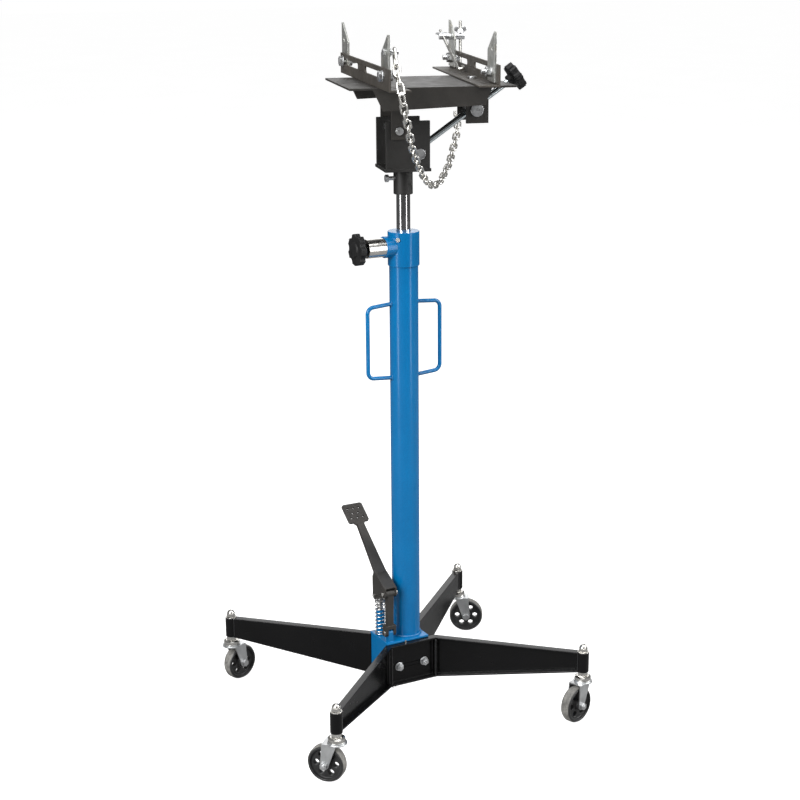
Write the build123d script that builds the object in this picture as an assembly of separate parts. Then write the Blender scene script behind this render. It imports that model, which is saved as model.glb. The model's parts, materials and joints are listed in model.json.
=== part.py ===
from build123d import *
import os
from math import atan2, ceil, cos, degrees, hypot, radians, sin

# Vertical transmission jack. Millimetres, +Z up. The origin is on the floor, on the column's
# axis. +X runs along the front cross-member, -Y is the front.

# ---------------------------------------------------------------- fits and clearances
RUN = 0.05            # radial clearance of a shaft that turns or slides in a bore
FIX = 0.02            # radial clearance of a pin that is held fast
GAP = 0.3             # gap between faces of two pieces that move past each other
SLIDE_GAP = 0.2       # gap between two flat plates that slide on each other

# ---------------------------------------------------------------- casters
WHEEL_R = 37.5
WHEEL_W = 22.0
HUB_W = 25.0
HUB_R = 11.0
WEB_W = 11.0
RIM_IN_R = 29.5
WHEEL_HOLES = 6
WHEEL_HOLE_R = 5.6
WHEEL_HOLE_PCR = 20.0
TRAIL = 20.0          # axle behind the swivel axis
AXLE_R = 4.0
FORK_T = 2.5
FORK_GAP = 0.6        # between the hub's end and the fork arm
CROWN_R = 20.0
CROWN_Z = 80.0        # underside of the fork's crown
RACE_R = 16.5
RACE_H = 8.0
STEM_R = 6.0
STEM_NUT_AF = 19.0
STEM_NUT_H = 8.5
ACORN_H = 17.0
BOLT_AF = 13.0        # M8 heads and nuts
BOLT_HEAD_H = 5.3
NUT_H = 6.5

# ---------------------------------------------------------------- base frame
BASE_X = -8.0         # middle of the base, from the column's axis
CASTER_DX = 276.0     # half the caster spacing along X
CASTER_DY = 257.0     # half the caster spacing along Y
CASTER_TURN = {"fl": 132.6, "rl": 18.6, "fr": 197.6, "rr": -29.4}   # direction of each trail
SOCKET_R = 12.0
SOCKET_H = 42.0
LEG_T = 4.0
LEG_FLANGE = 15.0
LEG_H = 88.0          # height of the channel at the middle
LEG_BEND_X = 54.0     # half length of the straight middle
BLOCK_X0 = -64.0
BLOCK_X1 = 32.0
BLOCK_DY = 34.0       # half depth of the block
LIP_T = 8.0
LIP_OVER = 4.0
PLUG_X = -22.0
FRAME_BOLT_DX = 29.0
FRAME_BOLT_R = 4.0

# ---------------------------------------------------------------- column and hydraulics
COLUMN_R = 28.5
COLUMN_WALL = 3.0
COLLAR_R = 31.0
COLLAR_H = 67.0
COLLAR_LAP = 20.0     # the collar overlaps the column's top by this much
COLUMN_L = 791.0      # from the block to the column tube's top
CYLINDER_R = 21.0
CYLINDER_BORE = 17.0
RAM_R = 13.5
RAM_OUT = 72.0        # ram showing above the collar at rest
RAM_REST_LIFT = 68.0  # how far the ram stands above its lowest place
PISTON_H = 25.0
BUSH_H = 38.0
WIPER_H = 7.0
VALVE_ANGLE = 180.0   # direction of the release valve, from +X
VALVE_DROP = 29.0     # below the collar's top
BOSS_R = 21.0
BOSS_REACH = 44.0
STUB_R = 18.5
STUB_L = 38.0
SPINDLE_R = 4.0
FILLER_ANGLE = -137.0
FILLER_DROP = 13.0
STAR_R = 31.0
STAR_T = 12.0
STAR_LOBES = 7
HANDLE_ROD_R = 4.0
HANDLE_REACH = 80.0
HANDLE_TOP = 142.0    # upper foot, below the collar's top
HANDLE_H = 149.0      # between the two feet
HANDLE_SLOPE = 4.0   # each bar drops or rises by this much on its way out
HANDLE_BEND = 13.0

# ---------------------------------------------------------------- foot pump
PUMP_X = -52.0
PUMP_Y = 15.0
BARREL_R = 8.5
BARREL_H = 54.0
PLUNGER_R = 6.0
PLUNGER_EYE_Z = 87.0  # plunger pin above the block's top
EYE_R = 8.0
EYE_W = 20.0
PIN_R = 4.0
EYE_PIN_R = 3.5
EYE_SLOT = 1.4        # half length of the straight part of the plunger's eye
EYE_PLAY = 1.0        # clearance of the plunger pin, where the linkage is open
SPRING_R = 10.0
SPRING_WIRE_R = 1.15
SPRING_TURNS = 9
LUG_Y = -26.0
LUG_W = 11.0
LUG_R = 7.0
LUG_PIN_Z = 19.0      # above the block's top
LINK_L = 85.0
LINK_ARM = 6.0
LINK_BAR = 12.0
YOKE_IN = 10.5        # half the gap inside the yoke
YOKE_T = 3.0
PAD_W = 46.0
PAD_L = 48.0
PAD_T = 5.0
PAD_TILT = 35.0
PAD_OUT = 132.0       # the pad's near edge, behind the pedal's pivot
PAD_UP = 111.0        # and above it
ARM_T = 6.0

# ---------------------------------------------------------------- tilting head
HEAD_YAW = -15.0      # the head's turn on the ram at rest
SLEEVE_R = 18.7
SLEEVE_H = 47.5
BOX_W = 86.0
BOX_D = 89.0
BOX_H = 90.0
BOX_T = 5.0
BOX_FLOOR_T = 6.0
CLAMP_Z = 17.0        # clamp bolt below the box's floor
TILT_X = -18.0
TILT_UP = 72.0        # tilt pivot above the box's floor
PIVOT_R = 6.0
ANCHOR_X = 23.0
ANCHOR_UP = 27.0
ANCHOR_R = 10.5
SCREW_R = 6.0
SCREW_PLAY = 2.1      # clearance of the screw in its anchor, where the linkage is open
TRUNNION_X = 137.0
TRUNNION_UP = 106.0
TRUNNION_R = 12.5
JOURNAL_R = 8.0
CAP_T = 2.4
LUG_GAP = 30.0        # half the gap of the trunnion's lugs
SCREW_TAIL = 34.0
KNOB_OUT = 86.0       # knob hub beyond the trunnion
KNOB_R = 27.0
KNOB_T = 16.0
KNOB_LOBES = 8
TABLE_X0 = -126.0
TABLE_X1 = 189.0
TABLE_DY = 122.0
TABLE_T = 4.0
TABLE_UP = 159.0      # table top above the box's floor
WEB_H = 38.0          # web height at its left end
WEB_H_RIGHT = 31.0
WEB_X0 = -82.0
WEB_X1 = 142.0
WEB_SLANT = 18.0

# ---------------------------------------------------------------- rails, blades, hooks
RAIL_L = 455.0
RAIL_FLANGE = 40.0
RAIL_H = 40.0
RAIL_T = 3.5
RAIL_BOLT_X = {"left": -53.0, "right": 136.0}
RAIL_FRONT = {"left": -216.0, "right": -158.0}    # front end of each rail, along itself
RAIL_YAW = {"left": 0.0, "right": -3.0}
RAIL_SLOT_UP = 25.0
RAIL_SLOT_R = 5.6
RAIL_SLOTS = ((0.09, 0.47), (0.615, 0.96))        # spans as parts of the length, from the front
RAIL_HOLE_PITCH = 29.0
RAIL_HOLES = 13
RAIL_BOLT_R = 4.0
TABLE_SLOT_R = 4.6
TABLE_SLOT_EDGE = 8.0    # slot end from the table's edge
TABLE_SLOT_IN = 12.0     # slot end beyond the rail bolt, towards the table's middle
BLADE_T = 4.0
BLADE_W = 60.0
BLADE_FOOT = 18.0     # blade below its bolt
BLADE_KINK = 39.0     # the taper starts this far above the bolt
BLADE_TIP = 74.0
BLADE_TIP_W = 6.0
BLADE_HOLE_UP = 42.0
BLADE_HOLE_IN = 23.0  # hole from the straight edge
BLADE_HOLE_R = 5.0
BLADE_BOLT_R = 5.0
BLADE_BOLT_AF = 17.0
BLADE_BOLT_Y = {"left_front": -162.0, "left_rear": 211.0, "right_front": -110.0, "right_rear": 258.0}
BLOCK_R = 6.5
BLOCK_L = 24.0
HOOK_OUT = 16.0       # hook bolt from the blade's face
HOOK_R = 3.0
HOOK_BEND_R = 5.5
HOOK_ROD_L = 160.0    # below the block
HOOK_ROD_TOP = 31.0   # above the block
HOOK_LEAN = -71.0     # the inner hook bolt lies forward, its end over the rail's flange
CHAIN_BOLT_R = 4.0
CHAIN_BOLT_OUT = 20.0
LINK_WIRE_R = 2.0
LINK_LENGTH = 28.6
LINK_WIDTH = 16.0
LINK_PITCH = 20.3     # longest spacing of two links
QUICK_WIRE_R = 2.6
QUICK_LENGTH = 46.0
QUICK_WIDTH = 24.0
# The chain's way between its two ends: over the left rail's front end, round in front of the
# bracket and up to the rear. Head's own axes, Z measured from the box's floor.
CHAIN_POINTS = (
    (-55.0, -204.0, 187.0), (-54.5, -218.0, 173.0), (-53.5, -227.0, 157.0), (-49.5, -224.0, 138.0),
    (-43.5, -212.0, 119.0), (-35.5, -196.0, 100.0), (-27.0, -176.0, 78.0), (-17.0, -150.0, 54.0),
    (-5.0, -123.0, 33.0), (6.0, -99.0, 15.0), (18.0, -74.0, -2.0), (33.0, -43.0, -21.0),
    (51.0, -10.0, -36.0), (69.0, 22.0, -42.0), (89.0, 56.0, -39.0), (104.0, 88.0, -29.0),
    (120.0, 118.0, -18.0), (132.0, 146.0, -7.0), (145.0, 176.0, 9.0), (156.0, 200.0, 23.0),
    (166.0, 226.0, 39.0),
)

# ---------------------------------------------------------------- heights that follow
SOCKET_Z0 = CROWN_Z + FORK_T + 3.0 + GAP + RACE_H + STEM_NUT_H
SOCKET_Z1 = SOCKET_Z0 + SOCKET_H
FRAME_TOP = SOCKET_Z1
FRAME_BOTTOM = FRAME_TOP - LEG_H
BLOCK_TOP = FRAME_TOP + 4.5
COLUMN_TOP = BLOCK_TOP + COLUMN_L
COLLAR_Z0 = COLUMN_TOP - COLLAR_LAP
COLLAR_TOP = COLLAR_Z0 + COLLAR_H
BUSH_Z0 = COLUMN_TOP
WIPER_Z0 = BUSH_Z0 + BUSH_H
SLEEVE_Z0 = COLLAR_TOP + RAM_OUT
BOX_Z = SLEEVE_Z0 + SLEEVE_H + BOX_FLOOR_T    # top of the box's floor
PISTON_Z0 = BLOCK_TOP + 3.0 + RAM_REST_LIFT
TABLE_TOP = BOX_Z + TABLE_UP
SLOT_Z = TABLE_TOP + RAIL_SLOT_UP
VALVE_Z = COLLAR_TOP - VALVE_DROP
P_LUG = (LUG_Y, BLOCK_TOP + LUG_PIN_Z)
P_PEDAL = (LUG_Y, P_LUG[1] + LINK_L)
P_EYE = (PUMP_Y, BLOCK_TOP + PLUNGER_EYE_Z)
TILT_Z = BOX_Z + TILT_UP
ANCHOR_Z = BOX_Z + ANCHOR_UP
TRUNNION_Z = BOX_Z + TRUNNION_UP
SCREW_SPAN = hypot(TRUNNION_X - ANCHOR_X, TRUNNION_Z - ANCHOR_Z)
SCREW_ANGLE = degrees(atan2(TRUNNION_Z - ANCHOR_Z, TRUNNION_X - ANCHOR_X))


# ---------------------------------------------------------------- shape helpers
def block(x0, x1, y0, y1, z0, z1):
    """A box between two corners."""
    return Pos((x0 + x1) / 2, (y0 + y1) / 2, (z0 + z1) / 2) * Box(x1 - x0, y1 - y0, z1 - z0)


def post(r, z0, z1, x=0.0, y=0.0):
    """A vertical cylinder."""
    return Pos(x, y, (z0 + z1) / 2) * Cylinder(r, z1 - z0)


def bar(start, end, r):
    """A round bar from one point to another."""
    a, b = Vector(*start), Vector(*end)
    plane = Plane(origin=a, z_dir=(b - a).normalized())
    return plane * (Pos(0, 0, (b - a).length / 2) * Cylinder(r, (b - a).length))


def hexagon(af, h, plane):
    """A hexagonal prism standing on a plane."""
    return plane * extrude(RegularPolygon(af / 2, 6, major_radius=False), h)


def facing(x, y, z, direction):
    """A plane at a point, with its normal along a direction."""
    return Plane(origin=(x, y, z), z_dir=direction)


def ring(r_out, r_in, h, plane):
    """A washer standing on a plane."""
    return plane * extrude(Circle(r_out) - Circle(r_in), h)


def side_plate(points, x0, x1):
    """A plate cut from an outline in Y and Z, between two X values."""
    wire = Polyline(*[(0, y, z) for y, z in points], close=True)
    return Pos(x0, 0, 0) * extrude(make_face(wire), x1 - x0, dir=(1, 0, 0))


def front_plate(points, y0, y1):
    """A plate cut from an outline in X and Z, between two Y values."""
    wire = Polyline(*[(x, 0, z) for x, z in points], close=True)
    return Pos(0, y0, 0) * extrude(make_face(wire), y1 - y0, dir=(0, 1, 0))


def stadium_x(y, z, half, r, x0, x1):
    """A slot along Y that runs through in X."""
    body = block(x0, x1, y - half, y + half, z - r, z + r)
    for end in (y - half, y + half):
        body += bar((x0, end, z), (x1, end, z), r)
    return body


def lobed(r, lobes, t, plane):
    """A star knob's head: a disc with scallops cut between its lobes."""
    head = plane * (Pos(0, 0, t / 2) * Cylinder(r, t))
    for i in range(lobes):
        a = radians(360 / lobes * (i + 0.5))
        cut = Pos(r * 1.13 * cos(a), r * 1.13 * sin(a), t / 2) * Cylinder(r * 0.27, t + 2)
        head -= plane * cut
    return head


def wing_nut(plane, r_bore):
    """A wing nut: a tapered hub with two rounded wings along the plane's X."""
    nut = plane * (Pos(0, 0, 3.5) * Cone(6.0, 4.6, 7.0))
    for side in (-1, 1):
        wing = Pos(side * 8.0, 0, 7.5) * Rot(90, 0, 0) * Cylinder(5.0, 1.8)
        nut += plane * wing
        nut += plane * (Pos(side * 5.0, 0, 4.0) * Box(5.0, 1.8, 5.0))
    return nut - plane * (Pos(0, 0, 6.0) * Cylinder(r_bore, 16.0))


def in_head(shape):
    """Turns a piece of the head from its own axes to the jack's."""
    return Rot(0, 0, HEAD_YAW) * shape


def solids(shape):
    return list(shape.solids())


# ---------------------------------------------------------------- casters
def caster_places():
    """Each caster's name, place and the direction of its trail."""
    for side, sx in (("l", -1), ("r", 1)):
        for end, sy in (("f", -1), ("r", 1)):
            name = end + side
            yield name, BASE_X + sx * CASTER_DX, sy * CASTER_DY, CASTER_TURN[name]


def caster_wheel():
    outline = Polyline(
        (0, -HUB_W / 2), (HUB_R, -HUB_W / 2), (HUB_R, -WEB_W / 2), (RIM_IN_R, -WEB_W / 2),
        (RIM_IN_R + 1.5, -WHEEL_W / 2), (WHEEL_R - 3, -WHEEL_W / 2), (WHEEL_R, -WHEEL_W / 4),
        (WHEEL_R, WHEEL_W / 4), (WHEEL_R - 3, WHEEL_W / 2), (RIM_IN_R + 1.5, WHEEL_W / 2),
        (RIM_IN_R, WEB_W / 2), (HUB_R, WEB_W / 2), (HUB_R, HUB_W / 2), (0, HUB_W / 2), close=True)
    wheel = revolve(make_face(outline), axis=Axis.Y)
    for i in range(WHEEL_HOLES):
        a = radians(360 / WHEEL_HOLES * i)
        x, z = WHEEL_HOLE_PCR * cos(a), WHEEL_HOLE_PCR * sin(a)
        wheel -= bar((x, -HUB_W, z), (x, HUB_W, z), WHEEL_HOLE_R)
    wheel -= bar((0, -HUB_W, 0), (0, HUB_W, 0), AXLE_R + RUN)
    return Pos(TRAIL, 0, WHEEL_R) * wheel


def caster_fork():
    """Pressed fork: a crown plate with a raised race and two tapered arms, and its axle."""
    inner = HUB_W / 2 + FORK_GAP
    outer = inner + FORK_T
    tail = TRAIL + 5.0
    crown = post(CROWN_R, CROWN_Z, CROWN_Z + FORK_T)
    crown += block(0, tail, -outer, outer, CROWN_Z, CROWN_Z + FORK_T)
    crown += post(RACE_R + 1.5, CROWN_Z + FORK_T, CROWN_Z + FORK_T + 3.0)
    arm = ((-5.0, CROWN_Z + FORK_T), (tail, CROWN_Z + FORK_T), (TRAIL + 8.5, WHEEL_R),
           (TRAIL - 8.5, WHEEL_R))
    for side in (-1, 1):
        y0, y1 = sorted((side * inner, side * outer))
        crown += front_plate(arm, y0, y1)
        crown += bar((TRAIL, y0, WHEEL_R), (TRAIL, y1, WHEEL_R), 8.5)
    crown -= bar((TRAIL, -40, WHEEL_R), (TRAIL, 40, WHEEL_R), AXLE_R + FIX)
    crown -= post(STEM_R + RUN, CROWN_Z - 5, CROWN_Z + 20)
    head = hexagon(BOLT_AF, BOLT_HEAD_H, facing(TRAIL, -outer, WHEEL_R, (0, -1, 0)))
    axle = head + bar((TRAIL, -outer - 1, WHEEL_R), (TRAIL, outer + NUT_H + 2, WHEEL_R), AXLE_R)
    nut = hexagon(BOLT_AF, NUT_H, facing(TRAIL, outer, WHEEL_R, (0, 1, 0)))
    nut -= bar((TRAIL, 0, WHEEL_R), (TRAIL, 40, WHEEL_R), AXLE_R + FIX)
    return solids(crown) + solids(axle) + solids(nut)


def caster_stem():
    """Threaded stem with the fixed upper race on it and a riveted end under the crown."""
    race_z = CROWN_Z + FORK_T + 3.0 + GAP
    stem = post(STEM_R, CROWN_Z - 1, SOCKET_Z1 + ACORN_H - 3.0)
    stem += post(9.0, CROWN_Z - 3.6, CROWN_Z - GAP)
    race = post(RACE_R, race_z, race_z + RACE_H - 2.0)
    race += Pos(0, 0, race_z + RACE_H - 1.0) * Cone(RACE_R, RACE_R - 4.0, 2.0)
    return stem + race


def caster_nut_set():
    """Hex nut under the socket, washer and acorn nut on top of it."""
    bore = post(STEM_R + FIX, 0, SOCKET_Z1 + ACORN_H - 2.9)
    lower = hexagon(STEM_NUT_AF, STEM_NUT_H, facing(0, 0, SOCKET_Z0 - STEM_NUT_H, (0, 0, 1)))
    washer = post(11.5, SOCKET_Z1, SOCKET_Z1 + 1.6)
    acorn = hexagon(STEM_NUT_AF - 2, 8.0, facing(0, 0, SOCKET_Z1 + 1.6, (0, 0, 1)))
    acorn += Pos(0, 0, SOCKET_Z1 + 1.6 + 7.4) * Sphere(7.9)
    acorn -= block(-20, 20, -20, 20, SOCKET_Z1 - 20, SOCKET_Z1 + 1.6)
    return [solids(lower - bore)[0], solids(washer - bore)[0], solids(acorn - bore)[0]]


# ---------------------------------------------------------------- base frame
def channel(length, h0, h1, back):
    """Channel along X with a level top; its height changes from h0 to h1 over the length.

    The web stands on the side of Y that back names, and the flanges reach the other way.
    """
    lap = 20.0
    half = LEG_FLANGE / 2
    outer = ((-lap, FRAME_TOP), (length, FRAME_TOP), (length, FRAME_TOP - h1),
             (0, FRAME_TOP - h0), (-lap, FRAME_TOP - h0))
    top = FRAME_TOP - LEG_T
    inner = ((-lap, top), (length + 1, top), (length + 1, FRAME_TOP - h1 + LEG_T),
             (0, FRAME_TOP - h0 + LEG_T), (-lap, FRAME_TOP - h0 + LEG_T))
    pocket = (-half - 1, half - LEG_T) if back > 0 else (LEG_T - half, half + 1)
    return front_plate(outer, -half, half) - front_plate(inner, *pocket)


def half_frame(sx, sy):
    """Half the straight middle, one tapered leg mitred to it, and its socket."""
    x, y = BASE_X + sx * LEG_BEND_X, sy * (BLOCK_DY + LEG_FLANGE / 2)
    foot_x, foot_y = BASE_X + sx * CASTER_DX, sy * CASTER_DY
    angle = atan2(foot_y - y, foot_x - x)
    length = hypot(foot_x - x, foot_y - y)
    mitre = facing(x, y, 0, (sx + cos(angle), sin(angle), 0))
    back = -1 if sx * sy > 0 else 1
    leg = Pos(x, y, 0) * Rot(0, 0, degrees(angle)) * channel(length, LEG_H, SOCKET_H, back)
    middle = channel(LEG_BEND_X, LEG_H, LEG_H, -back)
    middle = Pos(x, y, 0) * Rot(0, 0, 180 if sx > 0 else 0) * middle
    half = split(leg, bisect_by=mitre, keep=Keep.TOP) + split(middle, bisect_by=mitre, keep=Keep.BOTTOM)
    half += post(SOCKET_R, SOCKET_Z0, SOCKET_Z1, foot_x, foot_y)
    half -= post(STEM_NUT_AF * 0.62, SOCKET_Z0 - 30, SOCKET_Z0, foot_x, foot_y)
    return half - post(STEM_R + FIX, SOCKET_Z0 - 30, SOCKET_Z1 + 30, foot_x, foot_y)


def leg_frame(sy):
    """One welded frame: a straight middle, two tapered legs bent outwards, two sockets."""
    frame = half_frame(-1, sy) + half_frame(1, sy)
    for x, z in frame_bolt_places():
        frame -= bar((x, -200, z), (x, 200, z), FRAME_BOLT_R + FIX)
    return frame


def frame_bolt_places():
    z = FRAME_BOTTOM + 0.42 * LEG_H
    for sx in (-1, 1):
        yield BASE_X + sx * FRAME_BOLT_DX, z


def base_block():
    """Cast block: reservoir foot with a lip round its top and the pedal's lug."""
    body = block(BLOCK_X0, BLOCK_X1, -BLOCK_DY, BLOCK_DY, FRAME_BOTTOM, BLOCK_TOP - LIP_T)
    lip = block(BLOCK_X0, BLOCK_X1, -BLOCK_DY - LIP_OVER, BLOCK_DY + LIP_OVER,
                BLOCK_TOP - LIP_T + 3.6, BLOCK_TOP)
    body += block(BLOCK_X0, BLOCK_X1, -BLOCK_DY, BLOCK_DY, BLOCK_TOP - LIP_T, BLOCK_TOP)
    body += lip
    y, z = P_LUG
    x0, x1 = PUMP_X - LUG_W / 2, PUMP_X + LUG_W / 2
    lug = block(x0, x1, y - LUG_R, y + LUG_R, BLOCK_TOP - 1, z)
    lug += bar((x0, y, z), (x1, y, z), LUG_R)
    body += lug
    body -= bar((x0 - 1, y, z), (x1 + 1, y, z), PIN_R + FIX)
    for x, zb in frame_bolt_places():
        body -= bar((x, -200, zb), (x, 200, zb), FRAME_BOLT_R + FIX)
    return body


def frame_bolts():
    """Two through bolts, with a washer and a nut at the front."""
    parts = []
    face = BLOCK_DY + LEG_T
    for x, z in frame_bolt_places():
        bolt = hexagon(BOLT_AF, BOLT_HEAD_H, facing(x, face, z, (0, 1, 0)))
        bolt += bar((x, face + 1, z), (x, -face - NUT_H - 4.5, z), FRAME_BOLT_R)
        washer = ring(9.0, FRAME_BOLT_R + FIX, 1.6, facing(x, -face, z, (0, -1, 0)))
        nut = hexagon(BOLT_AF, NUT_H, facing(x, -face - 1.6, z, (0, -1, 0)))
        nut -= bar((x, 0, z), (x, -100, z), FRAME_BOLT_R + FIX)
        parts += solids(bolt) + solids(washer) + solids(nut)
    return parts


# ---------------------------------------------------------------- column and ram
def outer_column():
    return post(COLUMN_R, BLOCK_TOP, COLUMN_TOP) - post(COLUMN_R - COLUMN_WALL, 0, 2000)


def valve_point(reach, up=0.0):
    a = radians(VALVE_ANGLE)
    return (reach * cos(a), reach * sin(a), VALVE_Z + up)


def valve_plane(reach):
    a = radians(VALVE_ANGLE)
    return facing(*valve_point(reach), (cos(a), sin(a), 0))


def column_collar():
    """Gland collar that laps over the column, with the release valve's boss."""
    collar = post(COLLAR_R, COLLAR_Z0, COLLAR_TOP) + bar(valve_point(20), valve_point(BOSS_REACH), BOSS_R)
    collar -= post(COLUMN_R + FIX, COLLAR_Z0 - 30, COLUMN_TOP)
    collar -= post(CYLINDER_R + 1.0, COLUMN_TOP - 1, WIPER_Z0)
    collar -= post(RAM_R + 4.5, WIPER_Z0 - 1, WIPER_Z0 + WIPER_H)
    collar -= post(RAM_R + 1.0, WIPER_Z0, COLLAR_TOP + 5)
    collar -= bar(valve_point(22.5), valve_point(BOSS_REACH + 5), 9.0 + FIX)
    return collar - bar(filler_point(24.0), filler_point(40.0), 3.0)


def filler_point(reach):
    """A point on the filler screw's axis, which crosses the collar's front."""
    a = radians(FILLER_ANGLE)
    return reach * cos(a), reach * sin(a), COLLAR_TOP - FILLER_DROP


def plug_screws():
    """Filler screw in the collar and a plug screw in the block's lip."""
    a = radians(FILLER_ANGLE)
    filler = bar(filler_point(COLLAR_R - 5), filler_point(COLLAR_R + 1), 3.0 - FIX)
    filler += hexagon(8.0, 2.6, facing(*filler_point(COLLAR_R), (cos(a), sin(a), 0)))
    face, z = -BLOCK_DY - LIP_OVER, BLOCK_TOP - 2.3
    plug = bar((PLUG_X, face, z), (PLUG_X, face - 1.8, z), 2.0)
    return solids(filler) + solids(plug)


def side_handles():
    """Two bent-rod handles welded to opposite sides of the column."""
    z_top = COLLAR_TOP - HANDLE_TOP
    z_low = z_top - HANDLE_H
    foot = COLUMN_R - 1.0
    path = Polyline((foot, 0, z_top), (HANDLE_REACH, 0, z_top - HANDLE_SLOPE),
                    (HANDLE_REACH, 0, z_low + HANDLE_SLOPE), (foot, 0, z_low))
    path = fillet(path.vertices().sort_by(Axis.X)[-2:], HANDLE_BEND)
    start = Plane(origin=(foot, 0, z_top), z_dir=(HANDLE_REACH - foot, 0, -HANDLE_SLOPE))
    rod = sweep(start * Circle(HANDLE_ROD_R), path=path)
    rod -= post(COLUMN_R, z_low - 20, z_top + 20)
    return solids(rod) + solids(Rot(0, 0, 180) * rod)


def inner_cylinder():
    return post(CYLINDER_R, BLOCK_TOP, BUSH_Z0) - post(CYLINDER_BORE + RUN, 0, 2000)


def ram_guide_bush():
    return post(CYLINDER_R + 1.0 - FIX, BUSH_Z0, WIPER_Z0) - post(RAM_R + RUN, 0, 2000)


def wiper_seal():
    seal = post(RAM_R + 4.4, WIPER_Z0, WIPER_Z0 + WIPER_H - 0.2)
    return seal - post(RAM_R + GAP, 0, 2000)


def ram_rod():
    return post(RAM_R, PISTON_Z0 + PISTON_H, BOX_Z - BOX_FLOOR_T - GAP)


def ram_piston():
    """Piston head with its seal ring in a groove."""
    piston = post(CYLINDER_BORE, PISTON_Z0, PISTON_Z0 + PISTON_H)
    z0, z1 = PISTON_Z0 + 9.0, PISTON_Z0 + 15.0
    groove = post(CYLINDER_BORE + 1, z0, z1) - post(CYLINDER_BORE - 3.5, z0, z1)
    seal = post(CYLINDER_BORE, z0, z1) - post(CYLINDER_BORE - 3.5, z0, z1)
    return solids(piston - groove) + solids(seal)


def release_valve_body():
    """Plated stub that screws into the boss and carries the spindle."""
    body = valve_plane(BOSS_REACH) * (Pos(0, 0, STUB_L / 2) * Cylinder(STUB_R, STUB_L))
    body += bar(valve_point(24.0), valve_point(BOSS_REACH + 1), 9.0)
    return body - bar(valve_point(45.0), valve_point(120.0), SPINDLE_R + RUN)


def release_spindle():
    return bar(valve_point(46.0), valve_point(BOSS_REACH + STUB_L + 12.0), SPINDLE_R)


def release_knob():
    """Star knob on the release spindle."""
    face = BOSS_REACH + STUB_L + 1.5
    knob = bar(valve_point(face), valve_point(face + 14.0), 11.0)
    knob += lobed(STAR_R, STAR_LOBES, STAR_T, valve_plane(face + 10.0))
    knob += bar(valve_point(face + 20.0), valve_point(face + 10.0 + STAR_T + 3.0), 14.0)
    return knob - bar(valve_point(40.0), valve_point(BOSS_REACH + STUB_L + 12.0), SPINDLE_R + FIX)


# ---------------------------------------------------------------- foot pump
def pump_barrel():
    barrel = post(BARREL_R, BLOCK_TOP, BLOCK_TOP + BARREL_H, PUMP_X, PUMP_Y)
    return barrel - post(PLUNGER_R + RUN, BLOCK_TOP - 1, 2000, PUMP_X, PUMP_Y)


def pump_plunger():
    """Plunger with an eye for the pedal's pin and a collar that the spring pushes."""
    y, z = P_EYE
    plunger = post(PLUNGER_R, BLOCK_TOP + 24.0, z - 2, PUMP_X, PUMP_Y)
    plunger += post(SPRING_R + 1.2, z - 12.4, z - 9.9, PUMP_X, PUMP_Y)
    x0, x1 = PUMP_X - EYE_W / 2, PUMP_X + EYE_W / 2
    plunger += bar((x0, y, z), (x1, y, z), EYE_R) & block(x0, x1, -500, 500, z - 20, z + 20)
    return plunger - stadium_x(y, z, EYE_SLOT, EYE_PIN_R + EYE_PLAY, x0 - 9, x1 + 9)


def pump_spring():
    """Return spring between the block and the plunger's collar."""
    z0 = BLOCK_TOP + SPRING_WIRE_R
    z1 = P_EYE[1] - 12.4 - SPRING_WIRE_R
    helix = Helix((z1 - z0) / SPRING_TURNS, z1 - z0, SPRING_R)
    start = Plane(origin=helix @ 0, z_dir=helix % 0)
    return Pos(PUMP_X, PUMP_Y, z0) * sweep(start * Circle(SPRING_WIRE_R), path=helix, is_frenet=True)


def fulcrum_link():
    """Link that rocks on the lug and carries the pedal's pivot."""
    y, z = P_LUG
    yt, zt = P_PEDAL
    half = LUG_W / 2 + GAP
    link = block(PUMP_X - half - LINK_ARM, PUMP_X + half + LINK_ARM, y - 8, y + 8, z + 8.2, z + 16)
    for side in (-1, 1):
        x0, x1 = sorted((PUMP_X + side * half, PUMP_X + side * (half + LINK_ARM)))
        link += block(x0, x1, y - 8, y + 8, z, z + 9) + bar((x0, y, z), (x1, y, z), 8.0)
    x0, x1 = PUMP_X - LINK_BAR / 2, PUMP_X + LINK_BAR / 2
    link += block(x0, x1, y - 7, y + 7, z + 15, zt) + bar((x0, yt, zt), (x1, yt, zt), 8.0)
    link += bar((PUMP_X - YOKE_IN + GAP, yt, zt), (PUMP_X + YOKE_IN - GAP, yt, zt), 8.0)
    link -= bar((x0 - 30, y, z), (x1 + 30, y, z), PIN_R + RUN)
    return link - bar((x0 - 9, yt, zt), (x1 + 9, yt, zt), PIN_R + RUN)


def fulcrum_pin():
    y, z = P_LUG
    reach = LUG_W / 2 + GAP + LINK_ARM + 2.0
    pin = bar((PUMP_X - reach, y, z), (PUMP_X + reach, y, z), PIN_R)
    return pin + bar((PUMP_X - reach, y, z), (PUMP_X - reach + 1.6, y, z), PIN_R + 2.0)


def pedal_points():
    """Bend of the pedal, the pad's near edge and its far edge, in Y and Z."""
    y, z = P_PEDAL
    tilt = radians(PAD_TILT)
    near = (y + PAD_OUT, z + PAD_UP)
    far = (near[0] + PAD_L * cos(tilt), near[1] + PAD_L * sin(tilt))
    return (y + 40.0, z + 29.0), near, far


def strap(a, b, w0, w1, t):
    """Flat bar in the pedal's plane from a to b, with its width along X changing."""
    length = hypot(b[0] - a[0], b[1] - a[1])
    tilt = degrees(atan2(b[1] - a[1], b[0] - a[0]))
    outline = Polyline((-w0 / 2, 0), (w0 / 2, 0), (w1 / 2, length), (-w1 / 2, length), close=True)
    flat = extrude(make_face(outline), t / 2, both=True)
    return Pos(PUMP_X, a[0], a[1]) * Rot(tilt, 0, 0) * flat


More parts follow.
